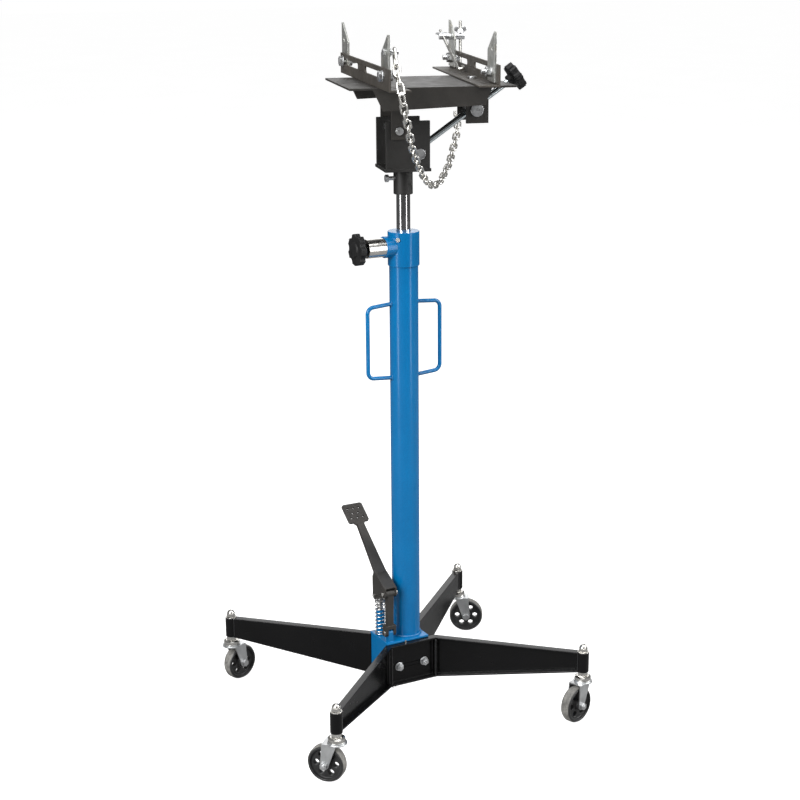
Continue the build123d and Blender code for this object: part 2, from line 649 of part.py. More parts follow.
def foot_pedal():
    """Folded yoke, flat arm and drilled pad."""
    bend, near, far = pedal_points()
    outline = ((P_PEDAL[0] - 8, P_PEDAL[1] - 4), (P_EYE[0] - 6, P_EYE[1] - 6), (P_EYE[0] + 7, P_EYE[1] - 3),
               (bend[0] + 9, bend[1] - 6), (bend[0] + 4, bend[1] + 4), (bend[0] - 6, bend[1] + 4),
               (P_PEDAL[0] - 8, P_PEDAL[1] + 13))
    pedal = None
    for side in (-1, 1):
        x0, x1 = sorted((PUMP_X + side * YOKE_IN, PUMP_X + side * (YOKE_IN + YOKE_T)))
        plate = side_plate(outline, x0, x1)
        plate += bar((x0, *P_PEDAL), (x1, *P_PEDAL), 8.5) + bar((x0, *P_EYE), (x1, *P_EYE), EYE_R)
        pedal = plate if pedal is None else pedal + plate
    ridge0 = (P_PEDAL[0] - 7.0, P_PEDAL[1] + 12.5)
    ridge1 = (bend[0] - 4.0, bend[1] + 2.5)
    wide = 2 * (YOKE_IN + YOKE_T)
    pedal += strap(ridge0, ridge1, wide - 2, wide - 2, YOKE_T)
    pedal += strap((bend[0] - 8, bend[1] - 3.0), near, wide, 15.0, ARM_T)
    pedal += strap((near[0] - 6, near[1] - 4.2), near, 15.0, 26.0, ARM_T)
    pad = strap(near, far, PAD_W, PAD_W, PAD_T)
    short_edges = pad.edges().filter_by(lambda e: abs(e.length - PAD_T) < 0.01)
    pedal += fillet(short_edges, 5.0) - pad_holes(near)
    pedal -= bar((PUMP_X - 40, *P_PEDAL), (PUMP_X + 40, *P_PEDAL), PIN_R + FIX)
    return pedal - bar((PUMP_X - 40, *P_EYE), (PUMP_X + 40, *P_EYE), EYE_PIN_R + FIX)


def pad_holes(near):
    """Eight drain holes in three rows."""
    holes = None
    for row, count in ((0.25, 3), (0.5, 2), (0.75, 3)):
        for i in range(count):
            hole = Pos((i - (count - 1) / 2) * 13.0, PAD_L * row, 0) * Cylinder(2.2, 20.0)
            hole = Pos(PUMP_X, near[0], near[1]) * Rot(PAD_TILT, 0, 0) * hole
            holes = hole if holes is None else holes + hole
    return holes


def pedal_pins():
    """Pivot pin and plunger pin, both fast in the yoke."""
    reach = YOKE_IN + YOKE_T + 2.5
    pins = []
    for (y, z), r in ((P_PEDAL, PIN_R), (P_EYE, EYE_PIN_R)):
        pin = bar((PUMP_X - reach, y, z), (PUMP_X + reach, y, z), r)
        pins += solids(pin + bar((PUMP_X + reach - 1.6, y, z), (PUMP_X + reach, y, z), r + 2.0))
    return pins


# ---------------------------------------------------------------- tilting head
def head_bracket():
    """Sleeve over the ram's top, floor plate and two cheeks, welded together."""
    cheek_y = BOX_D / 2
    floor = block(-BOX_W / 2 - 2, BOX_W / 2 + 2, -cheek_y - 2, cheek_y + 2, BOX_Z - BOX_FLOOR_T, BOX_Z)
    bracket = floor + post(SLEEVE_R, SLEEVE_Z0, BOX_Z - BOX_FLOOR_T)
    for side in (-1, 1):
        y0, y1 = sorted((side * cheek_y, side * (cheek_y - BOX_T)))
        bracket += block(-BOX_W / 2, BOX_W / 2, y0, y1, BOX_Z, BOX_Z + BOX_H)
    bracket -= post(RAM_R + RUN, SLEEVE_Z0 - 10, BOX_Z - BOX_FLOOR_T)
    bracket -= bar((TILT_X, -99, TILT_Z), (TILT_X, 99, TILT_Z), PIVOT_R + FIX)
    bracket -= bar((ANCHOR_X, -99, ANCHOR_Z), (ANCHOR_X, 99, ANCHOR_Z), JOURNAL_R + RUN)
    z = BOX_Z - BOX_FLOOR_T - CLAMP_Z
    return in_head(bracket - bar((-60, 0, z), (-5, 0, z), FRAME_BOLT_R + RUN))


def clamp_bolt():
    """Bolt through the sleeve that locks the head on the ram."""
    z = BOX_Z - BOX_FLOOR_T - CLAMP_Z
    bolt = bar((-RAM_R - GAP, 0, z), (-SLEEVE_R - 11.0, 0, z), FRAME_BOLT_R)
    return in_head(bolt + hexagon(BOLT_AF, 7.0, facing(-SLEEVE_R - 10.0, 0, z, (-1, 0, 0))))


def tilt_pivot_bolts():
    """One shouldered bolt and nut through each cheek."""
    parts = []
    for side in (-1, 1):
        cheek = side * BOX_D / 2
        head_y = cheek + side * (GAP + BOX_T + GAP)
        bolt = bar((TILT_X, cheek - side * (BOX_T + 7.5), TILT_Z), (TILT_X, head_y, TILT_Z), PIVOT_R)
        bolt += bar((TILT_X, head_y, TILT_Z), (TILT_X, head_y + side * 4.0, TILT_Z), 7.5)
        inside = cheek - side * BOX_T
        nut = hexagon(18.0, 6.0, facing(TILT_X, inside, TILT_Z, (0, -side, 0)))
        nut -= bar((TILT_X, -99, TILT_Z), (TILT_X, 99, TILT_Z), PIVOT_R + FIX)
        parts += solids(in_head(bolt)) + solids(in_head(nut))
    return parts


def screw_point(s, y=0.0):
    """A point on the tilt screw's axis, s from its anchor."""
    a = radians(SCREW_ANGLE)
    return (ANCHOR_X + s * cos(a), y, ANCHOR_Z + s * sin(a))


def screw_plane(s):
    a = radians(SCREW_ANGLE)
    return facing(*screw_point(s), (cos(a), 0, sin(a)))


def cross_pin(x, z, body_r, gap, wall_t):
    """Pin across two walls: a thick middle, two journals and a cap outside each wall."""
    inside = gap - GAP
    outside = gap + wall_t + GAP
    pin = bar((x, -inside, z), (x, inside, z), body_r)
    for side in (-1, 1):
        pin += bar((x, side * (inside - 1), z), (x, side * (outside + 1), z), JOURNAL_R)
        pin += bar((x, side * outside, z), (x, side * (outside + CAP_T), z), body_r)
    return pin


def screw_anchor():
    """Cross pin in the cheeks that holds the screw's lower end."""
    pin = cross_pin(ANCHOR_X, ANCHOR_Z, ANCHOR_R, BOX_D / 2 - BOX_T, BOX_T)
    return in_head(pin - bar(screw_point(-40), screw_point(40), SCREW_R + SCREW_PLAY))


def screw_trunnion():
    """Cross pin in the table's lugs that the screw turns in."""
    pin = cross_pin(TRUNNION_X, TRUNNION_Z, TRUNNION_R, LUG_GAP, BOX_T)
    hole = bar(screw_point(SCREW_SPAN - 40), screw_point(SCREW_SPAN + 40), SCREW_R + RUN)
    return in_head(pin - hole)


def tilt_screw():
    """Screw with a thrust collar each side of the trunnion."""
    screw = bar(screw_point(-SCREW_TAIL), screw_point(SCREW_SPAN + KNOB_OUT + 14.0), SCREW_R)
    for s in (SCREW_SPAN - TRUNNION_R - GAP - 5.0, SCREW_SPAN + TRUNNION_R + GAP):
        screw += bar(screw_point(s), screw_point(s + 5.0), 9.0)
    return in_head(screw)


def tilt_knob():
    s = SCREW_SPAN + KNOB_OUT
    knob = bar(screw_point(s), screw_point(s + 12.0), 11.0)
    knob += lobed(KNOB_R, KNOB_LOBES, KNOB_T, screw_plane(s + 10.0))
    return in_head(knob - bar(screw_point(s - 5), screw_point(s + 14.0), SCREW_R + FIX))


def table_slot_spans():
    """X span of each slot in the table, one for each rail's bolt."""
    left = (TABLE_X0 + TABLE_SLOT_EDGE, RAIL_BOLT_X["left"] + TABLE_SLOT_IN)
    return left, (RAIL_BOLT_X["right"] - TABLE_SLOT_IN, TABLE_X1 - TABLE_SLOT_EDGE)


def tilt_table():
    """Folded table: top plate with a web down each long edge and four lugs under it."""
    z1, z0 = TABLE_TOP, TABLE_TOP - TABLE_T
    table = block(TABLE_X0, TABLE_X1, -TABLE_DY, TABLE_DY, z0, z1)
    web = ((WEB_X0, z0), (WEB_X1, z0), (WEB_X1 - WEB_SLANT * 0.7, z0 - WEB_H_RIGHT),
           (WEB_X0 + WEB_SLANT, z0 - WEB_H))
    lug = ((TILT_X - 15, z0), (TILT_X + 15, z0), (TILT_X + 15, TILT_Z - 16), (TILT_X - 15, TILT_Z - 16))
    ear = ((TRUNNION_X - 21, z0), (TRUNNION_X + 12, z0), (TRUNNION_X + 23, TRUNNION_Z + 18),
           (TRUNNION_X + 23, TRUNNION_Z - 25), (TRUNNION_X - 21, TRUNNION_Z - 25))
    for side in (-1, 1):
        table += front_plate(web, *sorted((side * TABLE_DY, side * (TABLE_DY - TABLE_T))))
        inner = BOX_D / 2 + GAP
        table += front_plate(lug, *sorted((side * inner, side * (inner + BOX_T))))
        table += front_plate(ear, *sorted((side * LUG_GAP, side * (LUG_GAP + BOX_T))))
    table -= bar((TILT_X, -99, TILT_Z), (TILT_X, 99, TILT_Z), PIVOT_R + RUN)
    table -= bar((TRUNNION_X, -99, TRUNNION_Z), (TRUNNION_X, 99, TRUNNION_Z), JOURNAL_R + RUN)
    for x0, x1 in table_slot_spans():
        table -= block(x0 + TABLE_SLOT_R, x1 - TABLE_SLOT_R, -TABLE_SLOT_R, TABLE_SLOT_R, z0 - 1, z1 + 1)
        for x in (x0 + TABLE_SLOT_R, x1 - TABLE_SLOT_R):
            table -= post(TABLE_SLOT_R, z0 - 1, z1 + 1, x, 0)
    return in_head(table)


# ---------------------------------------------------------------- rails and their fittings
def on_rail(name, shape):
    """Turns a piece from its rail's axes, which start at the rail's bolt, to the jack's."""
    return in_head(Pos(RAIL_BOLT_X[name], 0, 0) * Rot(0, 0, RAIL_YAW[name]) * shape)


def rail_to_head(name, x, y, z):
    """A point from a rail's axes to the head's."""
    a = radians(RAIL_YAW[name])
    return Vector(RAIL_BOLT_X[name] + x * cos(a) - y * sin(a), x * sin(a) + y * cos(a), z)


def rail_side(name):
    """Outer face of a rail and the direction from it towards the table's middle."""
    return (-RAIL_FLANGE / 2, 1) if name == "left" else (RAIL_FLANGE / 2, -1)


def rail(name):
    """Slotted angle rail with a row of mounting holes."""
    face, inward = rail_side(name)
    z = TABLE_TOP + SLIDE_GAP
    y0 = RAIL_FRONT[name]
    angle = block(-RAIL_FLANGE / 2, RAIL_FLANGE / 2, y0, y0 + RAIL_L, z, z + RAIL_T)
    angle += block(*sorted((face, face + inward * RAIL_T)), y0, y0 + RAIL_L, z, z + RAIL_H)
    for start, end in RAIL_SLOTS:
        middle, half = y0 + RAIL_L * (start + end) / 2, RAIL_L * (end - start) / 2
        angle -= stadium_x(middle, SLOT_Z, half - RAIL_SLOT_R, RAIL_SLOT_R, face - 9, face + 9)
    first = ceil((y0 + 12.0) / RAIL_HOLE_PITCH)
    for i in range(first, first + RAIL_HOLES):
        angle -= post(RAIL_BOLT_R + RUN, z - 5, z + 9, 0, i * RAIL_HOLE_PITCH)
    return on_rail(name, angle)


def rail_bolt(name):
    """Round-head bolt through the rail and the table's slot, with a washer and nut below."""
    top = TABLE_TOP + SLIDE_GAP + RAIL_T + SLIDE_GAP
    under = TABLE_TOP - TABLE_T - SLIDE_GAP
    bolt = post(RAIL_BOLT_R, under - NUT_H - 3.5, top + 1) + post(8.5, top, top + 4.0)
    washer = ring(9.0, RAIL_BOLT_R + FIX, 1.6, facing(0, 0, under, (0, 0, -1)))
    nut = hexagon(BOLT_AF, NUT_H, facing(0, 0, under - 1.6, (0, 0, -1)))
    nut -= post(RAIL_BOLT_R + FIX, under - 20, under + 5)
    return [on_rail(name, part) for part in solids(bolt) + solids(washer) + solids(nut)]


def blade_faces(name):
    """X of a blade's two faces: the one by the rail, then the inner one."""
    face, inward = rail_side(name)
    near = face + inward * (RAIL_T + SLIDE_GAP)
    return near, near + inward * BLADE_T


def blade_out(end):
    return -1 if end == "front" else 1


def blade_hole(name, end):
    """Y and Z of the hole in a blade."""
    out = blade_out(end)
    y = BLADE_BOLT_Y[name + "_" + end] + out * (BLADE_W / 2 - BLADE_HOLE_IN)
    return y, SLOT_Z + BLADE_HOLE_UP


def blade(name, end):
    """Knife-shaped upright: straight towards the rail's end, tapered on the other edge."""
    out = blade_out(end)
    y, z = BLADE_BOLT_Y[name + "_" + end], SLOT_Z
    straight, back = y + out * BLADE_W / 2, y - out * BLADE_W / 2
    outline = ((straight, z - BLADE_FOOT), (straight, z + BLADE_TIP),
               (straight - out * BLADE_TIP_W, z + BLADE_TIP), (back, z + BLADE_KINK), (back, z - BLADE_FOOT))
    x0, x1 = sorted(blade_faces(name))
    plate = side_plate(outline, x0, x1)
    plate -= bar((x0 - 5, y, z), (x1 + 5, y, z), BLADE_BOLT_R + RUN)
    hole = blade_hole(name, end)
    return on_rail(name, plate - bar((x0 - 5, *hole), (x1 + 5, *hole), BLADE_HOLE_R))


def blade_bolt(name, end):
    """Bolt, two washers and a nut that clamp a blade in the rail's slot."""
    y, z = BLADE_BOLT_Y[name + "_" + end], SLOT_Z
    face, inward = rail_side(name)
    outer = face - inward * SLIDE_GAP
    inner = blade_faces(name)[1] + inward * SLIDE_GAP
    bolt = hexagon(BLADE_BOLT_AF, 6.4, facing(outer - inward * 2.0, y, z, (-inward, 0, 0)))
    bolt += bar((outer - inward * 3.0, y, z), (inner + inward * 18.0, y, z), BLADE_BOLT_R)
    nut = hexagon(BLADE_BOLT_AF, 8.0, facing(inner + inward * 2.0, y, z, (inward, 0, 0)))
    nut -= bar((inner - 30, y, z), (inner + 30, y, z), BLADE_BOLT_R + FIX)
    parts = solids(bolt) + solids(nut)
    for x, way in ((outer, -inward), (inner, inward)):
        parts += solids(ring(10.5, BLADE_BOLT_R + FIX, 2.0, facing(x, y, z, (way, 0, 0))))
    return [on_rail(name, part) for part in parts]


def hook_start(which):
    """Where a hook's block starts beside the rear right blade, and its outward direction."""
    near, far = blade_faces("right")
    return (near + GAP, 1) if which == "outer" else (far - GAP, -1)


def hook_frame(which):
    """Place on the block's axis where the hook bolt crosses it; its Z runs up the bolt."""
    start, out = hook_start(which)
    lean = 0.0 if which == "outer" else HOOK_LEAN
    return Pos(start + out * (HOOK_OUT - GAP), *blade_hole("right", "rear")) * Rot(lean, 0, 0)


def hook_block(which):
    """Drilled round block beside the blade, with its wing nut; the outer one has the pin."""
    start, out = hook_start(which)
    y, z = blade_hole("right", "rear")
    body = bar((start, y, z), (start + out * BLOCK_L, y, z), BLOCK_R)
    if which == "outer":
        end = blade_faces("right")[1] - GAP - 6.0
        body += bar((start + 1, y, z), (end, y, z), BLADE_HOLE_R - RUN - 1.5)
    else:
        body -= bar((start + 1, y, z), (start - 6.0 - RUN, y, z), BLADE_HOLE_R - 1.5)
    body -= hook_frame(which) * Cylinder(HOOK_R + RUN, 40.0)
    nut = hook_frame(which) * wing_nut(Plane.XY.offset(BLOCK_R + 0.2), HOOK_R + FIX)
    return [on_rail("right", part) for part in solids(body) + solids(nut)]


def hook_bolt(which):
    """Long J-shaped bolt: straight shank, a bend at the bottom and a short upturned end."""
    way = -1 if which == "outer" else 1
    shank = Pos(0, 0, (HOOK_ROD_TOP - HOOK_ROD_L) / 2) * Cylinder(HOOK_R, HOOK_ROD_TOP + HOOK_ROD_L)
    section = Pos(0, 0, -HOOK_ROD_L) * Circle(HOOK_R)
    axis = Axis((way * HOOK_BEND_R, 0, -HOOK_ROD_L), (0, -way, 0))
    hook = shank + revolve(section, axis=axis, revolution_arc=180.0)
    hook += Pos(2 * way * HOOK_BEND_R, 0, 4.0 - HOOK_ROD_L) * Cylinder(HOOK_R, 8.0)
    return on_rail("right", hook_frame(which) * hook)


def chain_bolt():
    """Bolt and nut through the left front blade's hole; the chain hangs from its end."""
    y, z = blade_hole("left", "front")
    near, far = blade_faces("left")
    bolt = hexagon(BOLT_AF, BOLT_HEAD_H, facing(near, y, z, (-1, 0, 0)))
    bolt += bar((near - 1, y, z), (far + CHAIN_BOLT_OUT, y, z), CHAIN_BOLT_R)
    nut = hexagon(BOLT_AF, NUT_H, facing(far, y, z, (1, 0, 0)))
    nut -= bar((far - 9, y, z), (far + 30, y, z), CHAIN_BOLT_R + FIX)
    return [on_rail("left", part) for part in solids(bolt) + solids(nut)]


def oval_link(length, width, wire_r):
    """An oval link lying in XZ, its length along Z."""
    half = length / 2 - width / 2
    r = width / 2 - wire_r
    link = None
    for side in (-1, 1):
        section = Plane(origin=(r, 0, side * half)) * Circle(wire_r)
        axis = Axis((0, 0, side * half), (0, -side, 0))
        bow = revolve(section, axis=axis, revolution_arc=180.0)
        leg = Pos(side * r, 0, 0) * Cylinder(wire_r, 2 * half)
        link = bow + leg if link is None else link + bow + leg
    return link


def chain_ends():
    """Quick link's middle and direction, and the middle of the last link, in head's axes."""
    y, z = blade_hole("left", "front")
    stub = rail_to_head("left", blade_faces("left")[1] + NUT_H + 6.0, y, z)
    x, y, z = CHAIN_POINTS[0]
    down = (Vector(x, y, z + BOX_Z) - stub).normalized()
    quick = stub + down * (QUICK_LENGTH / 2 - 2 * QUICK_WIRE_R - CHAIN_BOLT_R - GAP)
    y, z = blade_hole("right", "rear")
    x = blade_faces("right")[0] + HOOK_OUT - HOOK_BEND_R
    eye = rail_to_head("right", x, y, z - HOOK_ROD_L - HOOK_BEND_R)
    x, y, z = CHAIN_POINTS[-1]
    pull = (eye - Vector(x, y, z + BOX_Z)).normalized()
    last = eye - pull * (LINK_LENGTH / 2 - 2 * LINK_WIRE_R - HOOK_R - GAP)
    return quick, down, last


def chain_plane(point, along):
    across = Vector(along.Y, -along.X, 0).normalized()
    return Plane(origin=point, x_dir=across, z_dir=along)


def safety_chain():
    """Quick link and the chain's links, every other link turned a quarter."""
    quick, down, last = chain_ends()
    reach = QUICK_LENGTH / 2 - 2 * QUICK_WIRE_R + LINK_LENGTH / 2 - 2 * LINK_WIRE_R - GAP
    middle = [Vector(x, y, z + BOX_Z) for x, y, z in CHAIN_POINTS]
    line = Spline(quick + down * reach, *middle, last)
    gaps = ceil(line.length / LINK_PITCH)
    gaps += 1 - gaps % 2
    parts = [chain_plane(quick, down) * Rot(0, 0, 90) * oval_link(QUICK_LENGTH, QUICK_WIDTH, QUICK_WIRE_R)]
    link = oval_link(LINK_LENGTH, LINK_WIDTH, LINK_WIRE_R)
    for i in range(gaps + 1):
        plane = chain_plane(line @ (i / gaps), line % (i / gaps))
        parts.append(plane * Rot(0, 0, 90 * (i % 2)) * link)
    return [in_head(part) for part in parts]


# ---------------------------------------------------------------- nodes
def build_nodes():
    """Every node's name and its solids."""
    nodes = {
        "base_block": base_block(),
        "front_leg_frame": leg_frame(-1),
        "rear_leg_frame": leg_frame(1),
        "frame_bolts": frame_bolts(),
        "outer_column": outer_column(),
        "column_collar": column_collar(),
        "side_handles": side_handles(),
        "inner_cylinder": inner_cylinder(),
        "ram_guide_bush": ram_guide_bush(),
        "wiper_seal": wiper_seal(),
        "plug_screws": plug_screws(),
        "ram_rod": ram_rod(),
        "ram_piston": ram_piston(),
        "release_valve_body": release_valve_body(),
        "release_spindle": release_spindle(),
        "release_knob": release_knob(),
        "pump_barrel": pump_barrel(),
        "pump_plunger": pump_plunger(),
        "pump_spring": pump_spring(),
        "fulcrum_link": fulcrum_link(),
        "fulcrum_pin": fulcrum_pin(),
        "foot_pedal": foot_pedal(),
        "pedal_pins": pedal_pins(),
        "head_bracket": head_bracket(),
        "clamp_bolt": clamp_bolt(),
        "tilt_pivot_bolts": tilt_pivot_bolts(),
        "screw_anchor": screw_anchor(),
        "screw_trunnion": screw_trunnion(),
        "tilt_screw": tilt_screw(),
        "tilt_knob": tilt_knob(),
        "tilt_table": tilt_table(),
        "chain_bolt": chain_bolt(),
        "safety_chain": safety_chain(),
    }
    stems, nuts = [], []
    for name, x, y, turn in caster_places():
        place = Pos(x, y, 0)
        stems += [place * caster_stem()]
        nuts += [place * nut for nut in caster_nut_set()]
        nodes["caster_fork_" + name] = [place * Rot(0, 0, turn) * part for part in caster_fork()]
        nodes["caster_wheel_" + name] = place * Rot(0, 0, turn) * caster_wheel()
    nodes["caster_stems"] = stems
    nodes["caster_nuts"] = nuts
    for side in ("left", "right"):
        nodes["rail_" + side] = rail(side)
        nodes["rail_bolt_" + side] = rail_bolt(side)
        for end in ("front", "rear"):
            nodes["blade_" + side + "_" + end] = blade(side, end)
            nodes["blade_bolt_" + side + "_" + end] = blade_bolt(side, end)
    for which in ("outer", "inner"):
        nodes["hook_block_" + which] = hook_block(which)
        nodes["hook_bolt_" + which] = hook_bolt(which)
    return nodes


def write_nodes(nodes):
    os.makedirs("parts", exist_ok=True)
    for name, shape in nodes.items():
        bodies = []
        for item in shape if isinstance(shape, list) else [shape]:
            bodies += item.solids()
        export_step(Compound(children=bodies), "parts/" + name + ".step")


if __name__ == "__main__":
    write_nodes(build_nodes())
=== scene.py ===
"""Transmission jack: materials, weld beads, threads, pump spring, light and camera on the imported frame.

Every position comes from the CAD nodes' boxes or from the record's joints. Metres, +Z up.
"""
import json

from math import cos, pi, radians, sin

import bpy
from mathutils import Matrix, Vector


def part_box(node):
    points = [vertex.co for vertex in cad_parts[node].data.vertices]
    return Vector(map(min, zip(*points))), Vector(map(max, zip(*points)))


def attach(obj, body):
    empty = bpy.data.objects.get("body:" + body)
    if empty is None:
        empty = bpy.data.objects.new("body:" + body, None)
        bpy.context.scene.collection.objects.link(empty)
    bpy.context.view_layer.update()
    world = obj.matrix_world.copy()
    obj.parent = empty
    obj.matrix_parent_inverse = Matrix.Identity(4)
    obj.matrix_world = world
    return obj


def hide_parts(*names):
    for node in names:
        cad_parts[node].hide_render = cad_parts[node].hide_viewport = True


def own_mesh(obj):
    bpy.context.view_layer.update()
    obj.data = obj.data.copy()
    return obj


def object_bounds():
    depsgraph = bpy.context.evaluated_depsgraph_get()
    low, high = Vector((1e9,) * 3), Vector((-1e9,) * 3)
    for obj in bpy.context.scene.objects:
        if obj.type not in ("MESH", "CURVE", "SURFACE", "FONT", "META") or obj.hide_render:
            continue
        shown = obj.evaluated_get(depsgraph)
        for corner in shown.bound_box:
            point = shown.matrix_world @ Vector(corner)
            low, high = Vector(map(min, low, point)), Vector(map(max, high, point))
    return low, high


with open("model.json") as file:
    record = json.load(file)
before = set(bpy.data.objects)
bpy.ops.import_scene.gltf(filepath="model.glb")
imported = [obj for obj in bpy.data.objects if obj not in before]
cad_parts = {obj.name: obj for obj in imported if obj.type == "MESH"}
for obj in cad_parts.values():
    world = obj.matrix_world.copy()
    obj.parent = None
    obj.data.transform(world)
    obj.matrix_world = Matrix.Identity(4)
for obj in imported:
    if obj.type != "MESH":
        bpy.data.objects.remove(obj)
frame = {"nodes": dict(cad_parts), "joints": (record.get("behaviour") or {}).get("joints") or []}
CAD_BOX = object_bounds()
NODES = frame["nodes"]
JOINTS = {j["name"]: j for j in frame["joints"]}


# ------------------------------------------------------------------ where things are
def corners(node):
    low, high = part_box(node)
    return Vector(low), Vector(high)


def middle(node):
    low, high = corners(node)
    return (low + high) / 2


# ------------------------------------------------------------------ shader helpers
class Shader:
    """A material whose nodes are added one call at a time."""

    def __init__(self, name):
        self.material = bpy.data.materials.new(name)
        self.material.use_nodes = True
        self.tree = self.material.node_tree
        self.tree.nodes.clear()
        self.out = self.add("ShaderNodeOutputMaterial")
        self.surface = self.add("ShaderNodeBsdfPrincipled")
        self.tree.links.new(self.surface.outputs["BSDF"], self.out.inputs["Surface"])
        self.place = self.add("ShaderNodeTexCoord").outputs["Object"]

    def add(self, kind, **settings):
        node = self.tree.nodes.new(kind)
        for key, value in settings.items():
            setattr(node, key, value)
        return node

    def put(self, value, socket):
        if isinstance(value, bpy.types.NodeSocket):
            self.tree.links.new(value, socket)
        elif socket.type == "RGBA":
            socket.default_value = (*value, 1.0)
        else:
            socket.default_value = value

    def set(self, **values):
        for name, value in values.items():
            self.put(value, self.surface.inputs[name.replace("_", " ")])

    def stretched(self, scale, turn=(0.0, 0.0, 0.0), source=None):
        node = self.add("ShaderNodeMapping")
        self.put(source or self.place, node.inputs["Vector"])
        node.inputs["Scale"].default_value = scale
        node.inputs["Rotation"].default_value = turn
        return node.outputs["Vector"]

    def noise(self, scale, detail=3.0, rough=0.55, vector=None, warp=0.0):
        node = self.add("ShaderNodeTexNoise")
        self.put(vector or self.place, node.inputs["Vector"])
        node.inputs["Scale"].default_value = scale
        node.inputs["Detail"].default_value = detail
        node.inputs["Roughness"].default_value = rough
        node.inputs["Distortion"].default_value = warp
        return node.outputs["Fac"]

    def cells(self, scale, feature="F1"):
        node = self.add("ShaderNodeTexVoronoi", feature=feature)
        self.put(self.place, node.inputs["Vector"])
        node.inputs["Scale"].default_value = scale
        return node.outputs["Distance"]

    def ramp(self, factor, *stops):
        node = self.add("ShaderNodeValToRGB")
        self.put(factor, node.inputs["Fac"])
        elements = node.color_ramp.elements
        while len(elements) < len(stops):
            elements.new(0.5)
        for element, (position, value) in zip(elements, stops):
            element.position = position
            shade = value if hasattr(value, "__len__") else (value, value, value)
            element.color = (*shade, 1.0)
        return node.outputs["Color"]

    def mix(self, factor, a, b, kind="MIX"):
        node = self.add("ShaderNodeMix", data_type="RGBA", blend_type=kind)
        self.put(factor, node.inputs[0])
        self.put(a, node.inputs[6])
        self.put(b, node.inputs[7])
        return node.outputs[2]

    def math(self, kind, a, b=0.0):
        node = self.add("ShaderNodeMath", operation=kind)
        self.put(a, node.inputs[0])
        self.put(b, node.inputs[1])
        return node.outputs[0]

    def vector(self, kind, a, b=(0.0, 0.0, 0.0), output="Vector"):
        node = self.add("ShaderNodeVectorMath", operation=kind)
        self.put(a, node.inputs[0])
        self.put(b, node.inputs[1])
        return node.outputs[output]

    def band(self, value, low, high, soft):
        """1 between low and high, falling to 0 over soft on both sides."""
        up = self.add("ShaderNodeMapRange", interpolation_type="SMOOTHSTEP")
        self.put(value, up.inputs["Value"])
        up.inputs["From Min"].default_value = low - soft
        up.inputs["From Max"].default_value = low
        down = self.add("ShaderNodeMapRange", interpolation_type="SMOOTHSTEP")
        self.put(value, down.inputs["Value"])
        down.inputs["From Min"].default_value = high
        down.inputs["From Max"].default_value = high + soft
        down.inputs["To Min"].default_value = 1.0
        down.inputs["To Max"].default_value = 0.0
        return self.math("MULTIPLY", up.outputs["Result"], down.outputs["Result"])

    def edges(self, radius, low, high):
        """1 where the surface turns a corner within radius, 0 on flat ground."""
        soft = self.add("ShaderNodeBevel", samples=6)
        soft.inputs["Radius"].default_value = radius
        hard = self.add("ShaderNodeNewGeometry").outputs["True Normal"]
        meet = self.vector("DOT_PRODUCT", soft.outputs["Normal"], hard, "Value")
        turn = self.math("SUBTRACT", 1.0, meet)
        node = self.add("ShaderNodeMapRange")
        self.put(turn, node.inputs["Value"])
        node.inputs["From Min"].default_value = low
        node.inputs["From Max"].default_value = high
        return node.outputs["Result"]

    def bump(self, height, distance, strength=1.0, under=None):
        node = self.add("ShaderNodeBump")
        self.put(height, node.inputs["Height"])
        node.inputs["Distance"].default_value = distance
        node.inputs["Strength"].default_value = strength
        if under is not None:
            self.put(under, node.inputs["Normal"])
        return node.outputs["Normal"]


# ------------------------------------------------------------------ materials
def gloss_paint(name, deep, fair, rough, wear_and_highlight_tone, wear_and_highlight_amount, shine=0.3, coat=0.15):
    """Wet-looking enamel: shade drift, orange peel, dust and a thin lighter line on the edges, partly rubbed
    paint and partly painted highlight.
    """
    s = Shader(name)
    drift = s.ramp(s.noise(7.0, 4.0, 0.6), (0.3, deep), (0.7, fair))
    fleck = s.ramp(s.noise(420.0, 2.0, 0.5), (0.35, 0.93), (0.65, 1.05))
    colour = s.mix(1.0, drift, fleck, "MULTIPLY")
    # Broken lighter line along the edges: partly rubbed paint, partly a painted highlight on the rounded
    # edges.
    broken = s.ramp(s.noise(160.0, 4.0, 0.7), (0.5, 0.0), (0.62, 1.0))
    rim_wear_and_highlight = s.math("MULTIPLY", s.edges(0.0012, 0.1, 0.4), broken)
    colour = s.mix(s.math("MULTIPLY", rim_wear_and_highlight, wear_and_highlight_amount), colour, wear_and_highlight_tone)
    smudge = s.ramp(s.noise(23.0, 4.0, 0.55), (0.35, rough), (0.75, rough + 0.07))
    peel = s.bump(s.noise(650.0, 2.0, 0.45), 0.0002, 0.1)
    waves = s.bump(s.noise(60.0, 2.0, 0.4), 0.0004, 0.06, under=peel)
    s.set(Base_Color=colour, Roughness=smudge, Normal=waves)
    s.set(Specular_IOR_Level=shine, Coat_Weight=coat, Coat_Roughness=0.08)
    return s.material


